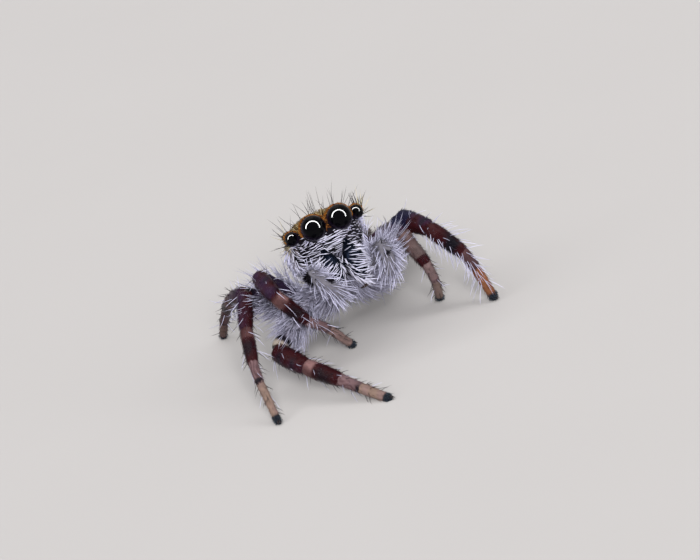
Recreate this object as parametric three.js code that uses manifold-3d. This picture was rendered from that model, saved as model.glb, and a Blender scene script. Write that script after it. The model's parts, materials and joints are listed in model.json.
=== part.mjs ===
// A young jumping spider, life size, standing on a level floor with its front end raised.
// Millimetres, +Z up. It faces -Y, and its own right side is towards -X.
// The solids give its outline out to the tips of its hairs.
import * as THREE from "three";
import { mergeVertices } from "three/addons/utils/BufferGeometryUtils.js";
import Module from "manifold-3d";

const wasm = await Module();
wasm.setup();

// ---- Driving dimensions -------------------------------------------------------------------
const GAP = 0.03; // thin cut between two pieces that meet
const ROUND = 10; // sides of a leg

// The head's own frame has its origin midway between the two large front eyes.
const EYE_HEIGHT = 4.0; // that origin above the floor
const HEAD_PITCH = 26; // degrees that the front part of the body looks up
const HEAD_TURN = 9.4; // degrees that it is turned to its right

const CARAPACE = { length: 3.35, halfWidth: 1.2, faceBow: 0.5 };
const ABDOMEN = { length: 3.3, halfWidth: 1.08, halfHeight: 0.93, swing: 25, droop: 12 };

// Middle of the whole outline, seen from above, from the point under the large front eyes.
const FOOTPRINT_MIDDLE = { x: 0.37, y: 1.63 };

// Hip joints in the head's frame, as [out to the side, back, up].
const HIPS = [
  [0.8, 1.25, -1.75],
  [0.92, 1.85, -1.85],
  [0.9, 2.45, -1.85],
  [0.72, 3.0, -1.75],
];
const HIP_RADIUS = 0.3;

// Radii along each leg piece, evenly spaced from its near end to its far end.
const LEG_RADII = {
  femur: [0.2, 0.27, 0.31, 0.31, 0.26],
  patella: [0.29, 0.34, 0.35, 0.34, 0.29],
  tibia: [0.28, 0.31, 0.31, 0.29, 0.25],
  metatarsus: [0.24, 0.25, 0.25, 0.24],
  tarsus: [0.23, 0.24, 0.24, 0.23, 0.17],
};
const THICKNESS = [1, 0.92, 0.86, 0.92]; // of each pair of legs, against those radii
const FOOT_HEIGHT = -0.04; // where a foot's middle line ends, just below the floor it is cut to

// The pose: the knee of each leg, the three joints beyond it, and where its foot stands.
const POSE = {
  right_1: [[-2.65, 0.11, 1.13], [-2.34, -1.04, 0.86], [-1.89, -2.17, 0.58], [-1.6, -2.69, 0.34], [-1.09, -3.6]],
  right_2: [[-1.99, 1.33, 2.9], [-2.11, 0.18, 2.66], [-1.54, 0.07, 1.61], [-0.98, 0.08, 1.04], [-0.24, 0.37]],
  right_3: [[-2.54, 1.35, 2.62], [-3.09, 0.62, 1.92], [-3.51, -0.27, 1.33], [-3.68, -0.83, 0.99], [-3.84, -1.77]],
  right_4: [[-2.37, 1.96, 2.31], [-2.44, 2.92, 1.89], [-2.44, 3.83, 1.27], [-2.52, 4.32, 0.71], [-2.56, 4.98]],
  left_1: [[2.61, 1.26, 2.52], [2.88, 0.08, 2.34], [3.24, -0.9, 1.65], [3.45, -0.88, 1.04], [3.6, -1.3]],
  left_2: [[2.2, 1.8, 1.9], [2.16, 0.68, 2.27], [2.35, -0.21, 1.52], [2.48, -0.11, 0.9], [2.65, 0.45]],
  left_3: [[2.2, 2.6, 1.6], [2.98, 3.4, 1.33], [3.69, 4.2, 0.91], [4.05, 4.66, 0.56], [4.6, 5.4]],
  left_4: [[1.9, 3.0, 1.5], [2.35, 4.03, 1.09], [2.86, 5.2, 0.63], [3.18, 5.93, 0.34], [3.59, 6.88]],
};

// ---- Helpers ------------------------------------------------------------------------------
const vec = (x, y, z) => new THREE.Vector3(x, y, z);
const rad = THREE.MathUtils.degToRad;

// Smooth interpolation through a list of evenly spaced values.
function along(values, t) {
  const s = THREE.MathUtils.clamp(t, 0, 1) * (values.length - 1);
  const i = Math.min(Math.floor(s), values.length - 2);
  return THREE.MathUtils.lerp(values[i], values[i + 1], s - i);
}

// A superellipse's reach in a direction: 2 is round, and more is squarer.
function square(angle, power) {
  const c = Math.abs(Math.cos(angle)) ** power;
  const s = Math.abs(Math.sin(angle)) ** power;
  return (c + s) ** (-1 / power);
}

function plain(geometry) {
  geometry.deleteAttribute("normal");
  geometry.deleteAttribute("uv");
  return mergeVertices(geometry, 1e-4);
}

// A sphere reshaped: place(t, angle, r) gives the point for a station t from 0 to 1 along it,
// an angle round it, and r, which falls to 0 at both ends.
function reshapedSphere(sides, rings, place) {
  const g = plain(new THREE.SphereGeometry(1, sides, rings));
  const p = g.getAttribute("position");
  for (let i = 0; i < p.count; i++) {
    const t = (1 - THREE.MathUtils.clamp(p.getY(i), -1, 1)) / 2;
    const r = Math.hypot(p.getX(i), p.getZ(i));
    const q = place(t, Math.atan2(p.getX(i), p.getZ(i)), r < 1e-6 ? 0 : r);
    p.setXYZ(i, q.x, q.y, q.z);
  }
  return facingOut(g);
}

// Turns the faces of a closed geometry round where they point inwards.
function facingOut(g) {
  const p = g.getAttribute("position");
  const a = g.index.array;
  const corner = (i) => vec(p.getX(a[i]), p.getY(a[i]), p.getZ(a[i]));
  let volume = 0;
  for (let i = 0; i < a.length; i += 3)
    volume += corner(i).dot(corner(i + 1).cross(corner(i + 2)));
  if (volume < 0)
    for (let i = 0; i < a.length; i += 3) [a[i + 1], a[i + 2]] = [a[i + 2], a[i + 1]];
  return g;
}

function toSolid(geometry) {
  const g = mergeVertices(geometry, 1e-5);
  return new wasm.Manifold(
    new wasm.Mesh({
      numProp: 3,
      vertProperties: new Float32Array(g.getAttribute("position").array),
      triVerts: new Uint32Array(g.index.array),
    }),
  );
}

function fromSolid(solid) {
  const m = solid.getMesh();
  return new THREE.BufferGeometry()
    .setAttribute("position", new THREE.BufferAttribute(m.vertProperties, 3))
    .setIndex(new THREE.BufferAttribute(m.triVerts, 1));
}

// The same shape, larger all round by the thin cut.
function grown(geometry) {
  const g = geometry.clone();
  g.computeBoundingBox();
  const middle = g.boundingBox.getCenter(vec(0, 0, 0));
  const size = g.boundingBox.getSize(vec(0, 0, 0));
  g.translate(-middle.x, -middle.y, -middle.z);
  g.scale(1 + (2 * GAP) / size.x, 1 + (2 * GAP) / size.y, 1 + (2 * GAP) / size.z);
  return g.translate(middle.x, middle.y, middle.z);
}

// A geometry with those of its neighbours that it meets cut away from it.
function cut(geometry, neighbours) {
  let solid = toSolid(geometry);
  for (const other of neighbours) {
    const around = toSolid(grown(other));
    if (!solid.intersect(around).isEmpty()) solid = solid.subtract(around);
  }
  const pieces = solid.decompose();
  pieces.sort((a, b) => b.volume() - a.volume());
  return fromSolid(pieces[0]);
}

function material(color, roughness = 0.7, metalness = 0) {
  return new THREE.MeshStandardMaterial({ color, roughness, metalness });
}
const SHELL = material(0x3a2a22);
const WHITE_HAIR = material(0xd8d4d6, 0.8);
const DARK_LEG = material(0x3b1f22, 0.45);
const PALE_LEG = material(0xb08868, 0.5);
const EYE = material(0x050507, 0.05);
const JAW = material(0x10141f, 0.25, 0.3);
const BELLY = material(0x4a3a30);

function named(name, geometry, finish, parent) {
  const mesh = new THREE.Mesh(geometry, finish);
  mesh.name = name;
  parent.add(mesh);
  return mesh;
}

// ---- Front part of the body ---------------------------------------------------------------
const spider = new THREE.Group();
const head = new THREE.Group();
head.position.set(0, 0, EYE_HEIGHT);
head.rotation.set(rad(-HEAD_PITCH), 0, rad(-HEAD_TURN), "ZXY");
spider.add(head);
head.updateMatrixWorld(true);
const fromHead = (x, y, z) => vec(x, y, z).applyMatrix4(head.matrixWorld);

// The shell over the head and the thorax: steep in front, flat over the eyes, falling behind.
function carapace() {
  const width = [0.88, 0.93, 0.98, 1, 0.98, 0.88, 0.62].map((w) => w * CARAPACE.halfWidth);
  const top = [0.4, 0.46, 0.5, 0.5, 0.38, 0.02, -0.5, -0.9];
  const bottom = [-0.68, -0.84, -1.08, -1.22, -1.28, -1.28, -1.2];
  return reshapedSphere(20, 12, (t, angle, r) => {
    const high = along(top, t);
    const low = along(bottom, t);
    const edge = square(angle, 2.6) * r ** THREE.MathUtils.lerp(0.2, 0.7, t);
    const x = Math.sin(angle) * along(width, t) * edge * (1 - 0.07 * Math.cos(angle));
    const z = (high + low) / 2 + Math.cos(angle) * ((high - low) / 2) * edge;
    const bow = CARAPACE.faceBow * x * x * (1 - t) ** 2;
    return vec(x, t * CARAPACE.length + bow, z);
  });
}

// The plate between the hips, with the eight hips on its sides.
function underside() {
  let solid = toSolid(
    reshapedSphere(12, 8, (t, angle, r) => {
      const edge = square(angle, 2.5) * r;
      return vec(Math.sin(angle) * 0.62 * edge, 0.85 + 2.45 * t, -1.62 + Math.cos(angle) * 0.3 * edge);
    }),
  );
  for (const side of [-1, 1])
    for (const [out, back, up] of HIPS)
      solid = solid.add(
        toSolid(
          reshapedSphere(7, 5, (t, angle, r) =>
            vec(
              side * (0.15 + out * t),
              back + Math.sin(angle) * HIP_RADIUS * r,
              up + 0.1 * (1 - t) + Math.cos(angle) * HIP_RADIUS * r,
            ),
          ),
        ),
      );
  return solid;
}

// One half of the jaws, broad above and narrower below.
function jaw(side) {
  const wide = [0.32, 0.345, 0.345, 0.33, 0.27];
  const deep = [0.36, 0.42, 0.4, 0.34, 0.26];
  return reshapedSphere(14, 10, (t, angle, r) => {
    const edge = square(angle, 2.5) * r ** 0.7;
    return vec(
      side * 0.36 + Math.sin(angle) * along(wide, t) * edge,
      0.36 - 0.28 * t - Math.cos(angle) * along(deep, t) * edge,
      -0.68 - 1.3 * t,
    );
  });
}

// A short curved fang folded in under the jaw.
function fang(side) {
  return tube(
    new THREE.QuadraticBezierCurve3(
      vec(side * 0.42, 0.15, -1.98),
      vec(side * 0.36, 0.08, -2.17),
      vec(side * 0.14, 0.2, -2.15),
    ),
    [0.09, 0.08, 0.06, 0.03],
    8,
    6,
  );
}

// A round-ended tube along a curve, with the radii given from its start to its end.
function tube(curve, radii, sides, steps) {
  const frames = curve.computeFrenetFrames(steps);
  return reshapedSphere(sides, steps, (t, angle, r) => {
    const s = Math.acos(1 - 2 * t) / Math.PI;
    const i = Math.round(s * steps);
    const centre = curve.getPointAt(THREE.MathUtils.clamp(s, 0, 1));
    const reach = along(radii, s) * (r > 0 ? Math.min(1, r ** 0.4) : 0);
    return centre
      .addScaledVector(frames.normals[i], Math.cos(angle) * reach)
      .addScaledVector(frames.binormals[i], Math.sin(angle) * reach);
  });
}

// A feeler: it comes forward from beside the jaw and hangs down in front, thick with hair.
function palp(side) {
  const route = new THREE.CatmullRomCurve3([
    vec(side * 0.78, 0.3, -1.62),
    vec(side * 1.02, -0.15, -1.2),
    vec(side * 1.05 + 0.05, -0.55, -1.25),
    vec(side * 0.92 + 0.14, -0.75, -1.65),
    vec(side * 0.71 + 0.21, -0.7, -2.1),
  ]);
  return tube(route, [0.2, 0.34, 0.42, 0.44, 0.42, 0.24], 12, 10);
}

// A bead of an eye.
function eye(radius, sides) {
  return plain(new THREE.SphereGeometry(radius, sides, Math.round(sides * 0.6)));
}

const EYES = {
  eye_front_middle: [0.4, 0, 0, 0.36, 12],
  eye_front_side: [0.985, 0.56, -0.02, 0.2, 10],
  eye_rear_small: [1.0, 1.1, 0.14, 0.06, 8],
  eye_rear: [0.9, 1.8, 0.12, 0.15, 8],
};

const SIDES = [["right", -1], ["left", 1]];
const eyes = [];
for (const [word, side] of SIDES)
  for (const [name, [x, y, z, radius, sides]] of Object.entries(EYES)) {
    eyes.push(eye(radius, sides).translate(side * x, y, z));
    named(name + "_" + word, eye(radius, sides), EYE, head).position.set(side * x, y, z);
  }
const shell = carapace();
const jaws = SIDES.map(([, side]) => jaw(side));
const palps = SIDES.map(([, side]) => palp(side));
const belly = fromSolid(underside());
named("carapace", cut(shell, eyes), SHELL, head);
named("underside", cut(belly, [shell, ...jaws]), BELLY, head);
SIDES.forEach(([word, side], i) => {
  named("jaw_" + word, cut(jaws[i], [shell]), JAW, head);
  named("fang_" + word, cut(fang(side), [jaws[i]]), JAW, head);
  named("palp_" + word, cut(palps[i], [shell, belly, ...jaws]), WHITE_HAIR, head);
});

// ---- Hind part of the body ----------------------------------------------------------------
const waist = fromHead(0, CARAPACE.length, -1.05);
const behind = new THREE.Group();
behind.position.copy(waist).add(vec(0.02, 0.3, -0.02));
behind.rotation.set(rad(-ABDOMEN.droop), 0, rad(-ABDOMEN.swing), "ZXY");
spider.add(behind);
behind.updateMatrixWorld(true);

// An egg along +Y, blunt in front and drawn in to the spinnerets behind.
function abdomen() {
  const width = [0.72, 0.92, 1, 1, 0.97, 0.86, 0.6].map((w) => w * ABDOMEN.halfWidth);
  const height = [0.8, 0.97, 1, 0.98, 0.9, 0.76, 0.55].map((h) => h * ABDOMEN.halfHeight);
  const rise = [0.12, 0.16, 0.12, 0.05, -0.02, -0.08, -0.1];
  return reshapedSphere(18, 11, (t, angle, r) => {
    const edge = r ** 0.8;
    return vec(
      Math.sin(angle) * along(width, t) * edge,
      t * ABDOMEN.length,
      along(rise, t) + Math.cos(angle) * along(height, t) * edge,
    );
  });
}

function spinnerets() {
  const end = ABDOMEN.length;
  let solid;
  for (const [x, z] of [[-0.13, 0.02], [0.13, 0.02], [0, -0.12]]) {
    const one = toSolid(
      tube(
        new THREE.LineCurve3(vec(x * 0.8, end - 0.25, z - 0.1), vec(x * 1.15, end + 0.22, z - 0.13)),
        [0.12, 0.13, 0.12, 0.08],
        7,
        5,
      ),
    );
    solid = solid ? solid.add(one) : one;
  }
  return solid;
}

const egg = abdomen();
const inWorld = (geometry, group) => geometry.clone().applyMatrix4(group.matrixWorld);
const stalk = tube(
  new THREE.LineCurve3(waist.clone().add(vec(0, -0.35, 0.06)), waist.clone().add(vec(0.06, 0.6, -0.02))),
  [0.2, 0.22, 0.22, 0.2],
  10,
  6,
);
named("abdomen", egg, BELLY, behind);
named("spinnerets", cut(fromSolid(spinnerets()), [egg]), SHELL, behind);
named("waist", cut(stalk, [inWorld(shell, head), inWorld(belly, head), inWorld(egg, behind)]), SHELL, spider);

// ---- Legs ---------------------------------------------------------------------------------

// A leg piece between two joints. Each end lies in the plane that halves the bend there.
function legPiece(from, to, radii, startNormal, endNormal) {
  const axis = to.clone().sub(from);
  const length = axis.length();
  axis.normalize();
  const side = vec(0, 0, 1).cross(axis).normalize();
  const up = axis.clone().cross(side);
  const outline = radii.map((r, i) => new THREE.Vector2(r, (length * i) / (radii.length - 1)));
  outline.unshift(new THREE.Vector2(0, 0));
  outline.push(new THREE.Vector2(0, length));
  const g = plain(new THREE.LatheGeometry(outline, ROUND));
  const p = g.getAttribute("position");
  for (let i = 0; i < p.count; i++) {
    const offset = vec(0, 0, 0).addScaledVector(side, p.getX(i)).addScaledVector(up, p.getZ(i));
    const t = p.getY(i) / length;
    let shift = 0;
    for (const [normal, share, sign] of [
      [startNormal, Math.max(0, 1 - 2 * t), 1],
      [endNormal, Math.max(0, 2 * t - 1), -1],
    ])
      if (normal) shift += (share * (sign * GAP * 0.5 - offset.dot(normal))) / axis.dot(normal);
    const q = from.clone().addScaledVector(axis, p.getY(i) + shift).add(offset);
    p.setXYZ(i, q.x, q.y, q.z);
  }
  return facingOut(g);
}

// A slab above the floor, which the feet are cut to.
const aboveFloor = toSolid(plain(new THREE.BoxGeometry(40, 40, 10)).translate(0, 0, 5));

const headParts = [shell, belly, ...jaws, ...palps].map((g) => inWorld(g, head));
const fixedParts = [...headParts, inWorld(egg, behind), stalk];
const earlierLegs = [];
for (const [leg, places] of Object.entries(POSE)) {
  const side = leg.startsWith("left") ? 1 : -1;
  const pair = Number(leg.at(-1)) - 1;
  const [out, back, up] = HIPS[pair];
  const hip = fromHead(side * (out + 0.12), back, up);
  const chain = places.map(([x, y, z = FOOT_HEIGHT]) => vec(x, y, z));
  const joints = [hip, ...chain];
  const ways = joints.slice(1).map((p, i) => p.clone().sub(joints[i]).normalize());
  const halving = ways.slice(1).map((way, i) => way.clone().add(ways[i]).normalize());
  const pieces = [];
  Object.entries(LEG_RADII).forEach(([piece, radii], i) => {
    const thick = radii.map((r) => r * THICKNESS[pair]);
    let shape = legPiece(joints[i], joints[i + 1], thick, halving[i - 1], halving[i]);
    shape = cut(shape, [...fixedParts, ...earlierLegs]);
    if (piece === "tarsus") shape = fromSolid(toSolid(shape).intersect(aboveFloor));
    pieces.push(shape);
    const finish = piece === "tarsus" || piece === "metatarsus" ? PALE_LEG : DARK_LEG;
    named("leg_" + leg + "_" + piece, shape, finish, spider);
  });
  earlierLegs.push(...pieces);
}

// The finished model stands with its origin on the floor, under the middle of its outline.
spider.position.set(-FOOTPRINT_MIDDLE.x, -FOOTPRINT_MIDDLE.y, 0);

export default spider;
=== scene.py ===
"""A young jumping spider, life size: its skin, eyes, claws and coat of hair, and the stage."""

import json
import math

import bmesh
import bpy
import numpy as np
from bpy.props import FloatProperty, FloatVectorProperty, PointerProperty
from mathutils import Matrix, Vector
from mathutils.kdtree import KDTree

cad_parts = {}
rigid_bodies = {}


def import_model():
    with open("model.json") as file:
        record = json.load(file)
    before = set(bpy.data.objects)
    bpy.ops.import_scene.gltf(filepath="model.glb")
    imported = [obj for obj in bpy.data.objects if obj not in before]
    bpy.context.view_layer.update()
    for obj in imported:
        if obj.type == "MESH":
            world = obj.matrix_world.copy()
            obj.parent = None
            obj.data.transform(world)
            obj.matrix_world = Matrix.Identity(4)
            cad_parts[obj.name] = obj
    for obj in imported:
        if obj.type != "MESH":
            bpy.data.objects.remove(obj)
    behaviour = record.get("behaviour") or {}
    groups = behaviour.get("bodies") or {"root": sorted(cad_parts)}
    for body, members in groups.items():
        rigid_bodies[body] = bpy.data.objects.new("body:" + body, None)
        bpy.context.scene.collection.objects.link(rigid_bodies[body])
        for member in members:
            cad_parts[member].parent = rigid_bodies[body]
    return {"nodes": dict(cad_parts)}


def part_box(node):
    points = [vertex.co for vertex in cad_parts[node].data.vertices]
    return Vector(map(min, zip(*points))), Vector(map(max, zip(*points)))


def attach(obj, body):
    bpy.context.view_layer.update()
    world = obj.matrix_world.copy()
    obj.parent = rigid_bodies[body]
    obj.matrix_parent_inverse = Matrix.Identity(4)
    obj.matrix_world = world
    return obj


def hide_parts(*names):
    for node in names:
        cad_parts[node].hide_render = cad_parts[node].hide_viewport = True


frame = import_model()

bl_info = {
    "name": "Jumping spider",
    "version": (1, 0, 0),
    "blender": (4, 5, 0),
    "location": "View3D > Sidebar > Spider",
    "description": "Skin, eyes, claws and coat of a life-size jumping spider, with its stage",
    "category": "Object",
}

# ---- Sizes, in millimetres unless a name says otherwise ------------------------------------------
MM = 0.001
SENSOR = 36  # the camera's width
ARCH_LAMPS = 13  # how many lamps the arch is made of
HEAD_PITCH = math.radians(26)
HEAD_TURN = math.radians(9.4)
HIND_SWING = math.radians(25)
HIND_DROOP = math.radians(12)
BACK_LENGTH = 3.35
HIND_LENGTH = 3.3
MEETING = 0.06  # two solids that meet have points this near to each other
PATCH = 0.003  # how wide a hair's patch is on its map, where the whole map is 1 wide
ROOT_DEPTH = 0.015  # how far below the skin a hair begins
FLOOR_GAP = 0.006  # how near to the floor a hair may come

SIDES = (("right", -1), ("left", 1))
LEG_PIECES = ("femur", "patella", "tibia", "metatarsus", "tarsus")
LEGS = tuple(f"{side}_{pair}" for side, _ in SIDES for pair in (1, 2, 3, 4))

# Hips in the head's frame, as [out to the side, back, up], from the front pair to the hind pair.
HIPS = ((0.8, 1.25, -1.75), (0.92, 1.85, -1.85), (0.9, 2.45, -1.85), (0.72, 3.0, -1.75))

# Radii of the skin along each leg piece, evenly spaced from its near end to its far end, and the
# thickness of each pair of legs against those.
LEG_RADII = {
    "femur": (0.17, 0.21, 0.24, 0.25, 0.25, 0.24, 0.22),
    "patella": (0.235, 0.27, 0.285, 0.285, 0.275, 0.255, 0.235),
    "tibia": (0.225, 0.24, 0.245, 0.24, 0.23, 0.215, 0.19),
    "metatarsus": (0.17, 0.175, 0.172, 0.166, 0.16, 0.165, 0.155),
    "tarsus": (0.145, 0.152, 0.15, 0.146, 0.14, 0.135, 0.13),
}
THICKNESS = {"1": 1.0, "2": 0.88, "3": 0.8, "4": 0.86}
TOE = 0.14  # from the end of a foot's skin line to the end of its solid

# How plain the pale band of each shin is.
PALE_BAND = {"right_1": 0.95, "right_2": 0.85, "right_3": 0.4, "right_4": 0.4,
             "left_1": 0.05, "left_2": 0.5, "left_3": 0.5, "left_4": 0.6}

# The skin's radius along a feeler, at each point of its middle line.
FEELER_RADII = (0.13, 0.17, 0.185, 0.19, 0.17)

# A fang's middle line in the head's frame, from the jaw to the point, and its radii along it.
FANG_LINE = ((0.4, 0.22, -1.84), (0.42, 0.2, -1.94), (0.37, 0.18, -2.02), (0.27, 0.21, -2.05),
             (0.17, 0.25, -2.05))
FANG_RADII = (0.075, 0.065, 0.052, 0.036, 0.01)
CLAW_RADII = (0.018, 0.015, 0.01, 0.003)

# Small dark bare spots on the feelers, in the head's frame, with their radii.
SPOTS = ((-1.2, -0.45, -1.27, 0.2), (-0.68, -0.88, -1.5, 0.1), (1.07, -0.88, -1.45, 0.08),
         (0.8, -0.87, -1.84, 0.08))

# Each eye: where it is in the head's frame, its radius, and how far it looks out and up.
EYES = {
    "eye_front_middle": (0.4, 0.0, 0.0, 0.36, 0, 4),
    "eye_front_side": (0.985, 0.56, -0.02, 0.2, 24, 4),
    "eye_rear_small": (1.0, 1.1, 0.14, 0.06, 75, 30),
    "eye_rear": (0.9, 1.8, 0.12, 0.15, 88, 35),
}

# Colours, linear.
INK = (0.006, 0.005, 0.008)
WINE = (0.026, 0.0045, 0.006)
PLUM = (0.030, 0.016, 0.042)
NAVY = (0.008, 0.009, 0.028)
ROSE = (0.20, 0.107, 0.104)
BUFF = (0.185, 0.115, 0.122)
TAN = (0.20, 0.136, 0.108)
AMBER = (0.19, 0.068, 0.028)
SOLE = (0.010, 0.012, 0.018)
PEARL = (0.36, 0.34, 0.40)
UMBER = (0.035, 0.021, 0.016)
STEEL = (0.005, 0.008, 0.017)
FAWN = (0.19, 0.135, 0.095)
SMOKE = (0.25, 0.235, 0.305)
BONE = (0.42, 0.36, 0.30)
DUST = (0.15, 0.105, 0.10)
BRONZE = (0.09, 0.06, 0.05)
SLATE = (0.12, 0.16, 0.2)
HORN = ((0.006, 0.004, 0.004), (0.03, 0.012, 0.009))  # where its grain is low, and where it is high

UP = Vector((0, 0, 1))
made = {}  # what one operator leaves for the next: the skin with all that is known of it


# ---- Small helpers -------------------------------------------------------------------------------
def along(values, t):
    """Straight interpolation through evenly spaced values."""
    return float(np.interp(t, np.linspace(0, 1, len(values)), values))


def square(angle, power):
    """A superellipse's reach in a direction: 2 is round, and more is squarer."""
    return (abs(math.cos(angle)) ** power + abs(math.sin(angle)) ** power) ** (-1 / power)


def ramp(x, low, high):
    """0 below low and 1 above high, smooth between."""
    t = np.clip((x - low) / (high - low), 0, 1)
    return t * t * (3 - 2 * t)


def band(x, low, high, soft=0.04):
    """1 between low and high and 0 outside, with soft edges."""
    return ramp(x, low - soft, low + soft) * (1 - ramp(x, high - soft, high + soft))


def mixed(a, b, share):
    """A colour turned towards another by a share. Each of the three may also be one for each row."""
    a = np.asarray(a, float)
    return a + (np.asarray(b) - a) * np.asarray(share)[..., None]


def unit(rows):
    """Each row made 1 long."""
    return rows / np.maximum(np.linalg.norm(rows, axis=1, keepdims=True), 1e-9)


def dot(a, b):
    """The dot product of each row of a with its row of b."""
    return np.einsum("ij,ij->i", a, b)


def swell(points, scale, seed):
    """A smooth field of values from about -1 to 1, with waves about scale long."""
    rng = np.random.default_rng(seed)
    total = np.zeros(len(points))
    for _ in range(5):
        way = rng.normal(size=3)
        way *= 2 * math.pi / scale / np.linalg.norm(way) * rng.uniform(0.6, 1.4)
        total += np.sin(points @ way + rng.uniform(0, 2 * math.pi))
    return total / 3


def moved(matrix, rows):
    """Points carried along by a matrix."""
    m = np.array(matrix)
    return rows @ m[:3, :3].T + m[:3, 3]


def rows_of(items, name, kind=float):
    """An array with a row of three for each of a mesh's items."""
    found = np.empty(len(items) * 3, kind)
    items.foreach_get(name, found)
    return found.reshape(-1, 3)


def tree_of(points):
    """A tree that finds which of some points are near a place."""
    tree = KDTree(len(points))
    for i, point in enumerate(points):
        tree.insert(point, i)
    tree.balance()
    return tree


def add_object(name, data):
    """A new object in the scene."""
    added = bpy.data.objects.new(name, data)
    bpy.context.scene.collection.objects.link(added)
    return added


def mesh_from(bm, name):
    """A smooth mesh from a bmesh, which it frees."""
    mesh = bpy.data.meshes.new(name)
    bm.to_mesh(mesh)
    bm.free()
    mesh.shade_smooth()
    return mesh


def each_eye():
    """The side of each eye, and in the head's frame its centre, its radius and how far it looks out."""
    for x, y, z, radius, swing, _ in EYES.values():
        for _, side in SIDES:
            yield side, np.array((side * x, y, z)), radius, swing


# ---- The body's plan, read from the solids -------------------------------------------------------
def middle(node):
    """The middle of a solid's box."""
    low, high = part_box(node)
    return (Vector(low) + Vector(high)) / 2 / MM


def points_of(node):
    """All the points of a solid."""
    return rows_of(frame["nodes"][node].data.vertices, "co") / MM


def head_frame():
    """The head's own frame: its origin is midway between the large front eyes."""
    origin = (middle("eye_front_middle_left") + middle("eye_front_middle_right")) / 2
    turn = Matrix.Rotation(-HEAD_TURN, 4, "Z") @ Matrix.Rotation(-HEAD_PITCH, 4, "X")
    return Matrix.Translation(origin) @ turn


def hind_frame():
    """The hind body's frame: its origin is at its front end and Y runs to the spinnerets."""
    origin = HEAD @ Vector((0, BACK_LENGTH, -1.05)) + Vector((0.02, 0.3, -0.02))
    turn = Matrix.Rotation(-HIND_SWING, 4, "Z") @ Matrix.Rotation(-HIND_DROOP, 4, "X")
    return Matrix.Translation(origin) @ turn


def leg_joints(leg):
    """Hip, knee, the three joints beyond it and the sole, from where the solids meet."""
    pieces = [points_of(f"leg_{leg}_{piece}") for piece in LEG_PIECES]
    joints = []
    for near, far in zip(pieces, pieces[1:]):
        gap = np.linalg.norm(near[:, None] - far[None], axis=2)
        meeting = np.vstack([near[gap.min(axis=1) < MEETING], far[gap.min(axis=0) < MEETING]])
        joints.append(meeting.mean(axis=0))
    away = np.linalg.norm(pieces[0] - joints[0], axis=1)
    hip = pieces[0][away > np.quantile(away, 0.93)].mean(axis=0)
    flat = pieces[-1][pieces[-1][:, 2] < 0.01]
    ahead = (flat.mean(axis=0) - joints[-1]) * (1, 1, 0)
    ahead /= np.linalg.norm(ahead)
    sole = joints[-1] * (1, 1, 0) + ahead * (((flat - joints[-1]) @ ahead).max() - TOE)
    return [Vector(p) for p in (hip, *joints, sole)]


def axis_frame(start, end, top):
    """A frame at start whose Y runs to end and whose Z is as near to top as it can be."""
    y = (end - start).normalized()
    z = (top - y * top.dot(y)).normalized()
    x = y.cross(z)
    return Matrix.Translation(start) @ Matrix((x, y, z)).transposed().to_4x4()


def feeler_line(side):
    """A feeler's middle line in the head's frame; the right one bends further to the middle."""
    return [Vector(p) for p in ((side * 0.78, 0.3, -1.62), (side * 1.02, -0.15, -1.2),
                                (side * 1.05 + 0.05, -0.55, -1.25), (side * 0.92 + 0.14, -0.75, -1.65),
                                (side * 0.71 + 0.21, -0.7, -2.05))]


HEAD = head_frame()
HEAD_AXES = np.array(HEAD)[:3, :3]  # its columns are the ways out to the left, back and up
HIND = hind_frame()


class Part:
    """A stretch of the body. Its own Y runs along it and its own Z is its upper side."""

    def __init__(self, kind, place, length, side=0, leg=""):
        self.kind, self.place, self.length, self.side, self.leg = kind, place, length, side, leg


# ---- Skin: rounded shapes, fused into one --------------------------------------------------------
class Flesh:
    """The shapes that the skin is fused from, and which part each of their points is on."""

    def __init__(self):
        self.bm = bmesh.new()
        self.parts = []
        self.labels = []

    def add(self, part, shape, sides, rings):
        """A sphere reshaped: shape(t, angle, r) gives a point in the part's own frame."""
        if part not in self.parts:
            self.parts.append(part)
        ball = bmesh.ops.create_uvsphere(self.bm, u_segments=sides, v_segments=rings, radius=1)
        for v in ball["verts"]:
            x, y, z = v.co
            r = math.hypot(x, y)
            t = math.acos(max(-1, min(1, z))) / math.pi
            v.co = part.place @ Vector(shape(t, math.atan2(x, y) if r > 1e-6 else 0.0, r))
            self.labels.append((v.co.copy(), self.parts.index(part)))

    def limb(self, part, radii, over=0.07):
        """A round limb with swelling radii, running a little past both of its joints."""
        def shape(t, angle, r):
            reach = along(radii, t) * min(1.0, (r * 4) ** 0.5)
            y = -over + t * (part.length + 2 * over)
            return math.sin(angle) * reach, y, math.cos(angle) * reach

        self.add(part, shape, sides=20, rings=22)

    def ball(self, part, centre, radii):
        """An ellipsoid round a point in the part's frame."""
        def shape(t, angle, r):
            return (centre[0] + radii[0] * r * math.sin(angle),
                    centre[1] - radii[1] * math.cos(t * math.pi),
                    centre[2] + radii[2] * r * math.cos(angle))

        self.add(part, shape, sides=24, rings=18)


def shell_shape(depth):
    """The shell over the head and thorax: steep in front, flat on top, falling behind."""
    width = [w * 1.2 - depth for w in (0.88, 0.93, 0.98, 1, 0.98, 0.88, 0.62)]
    top = (0.33, 0.39, 0.43, 0.43, 0.31, -0.06, -0.58, -0.95)
    bottom = (-0.62, -0.78, -1.01, -1.15, -1.2, -1.2, -1.14)

    def shape(t, angle, r):
        s = (1 - math.cos(t * math.pi)) / 2
        high, low = along(top, s), along(bottom, s)
        edge = square(angle, 2.6) * r ** (0.2 + 0.5 * s)
        x = math.sin(angle) * along(width, s) * edge * (1 - 0.07 * math.cos(angle))
        z = (high + low) / 2 + math.cos(angle) * (high - low) / 2 * edge
        return x, depth + s * (BACK_LENGTH - 2 * depth) + 0.5 * x * x * (1 - s) ** 2, z

    return shape


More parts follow.
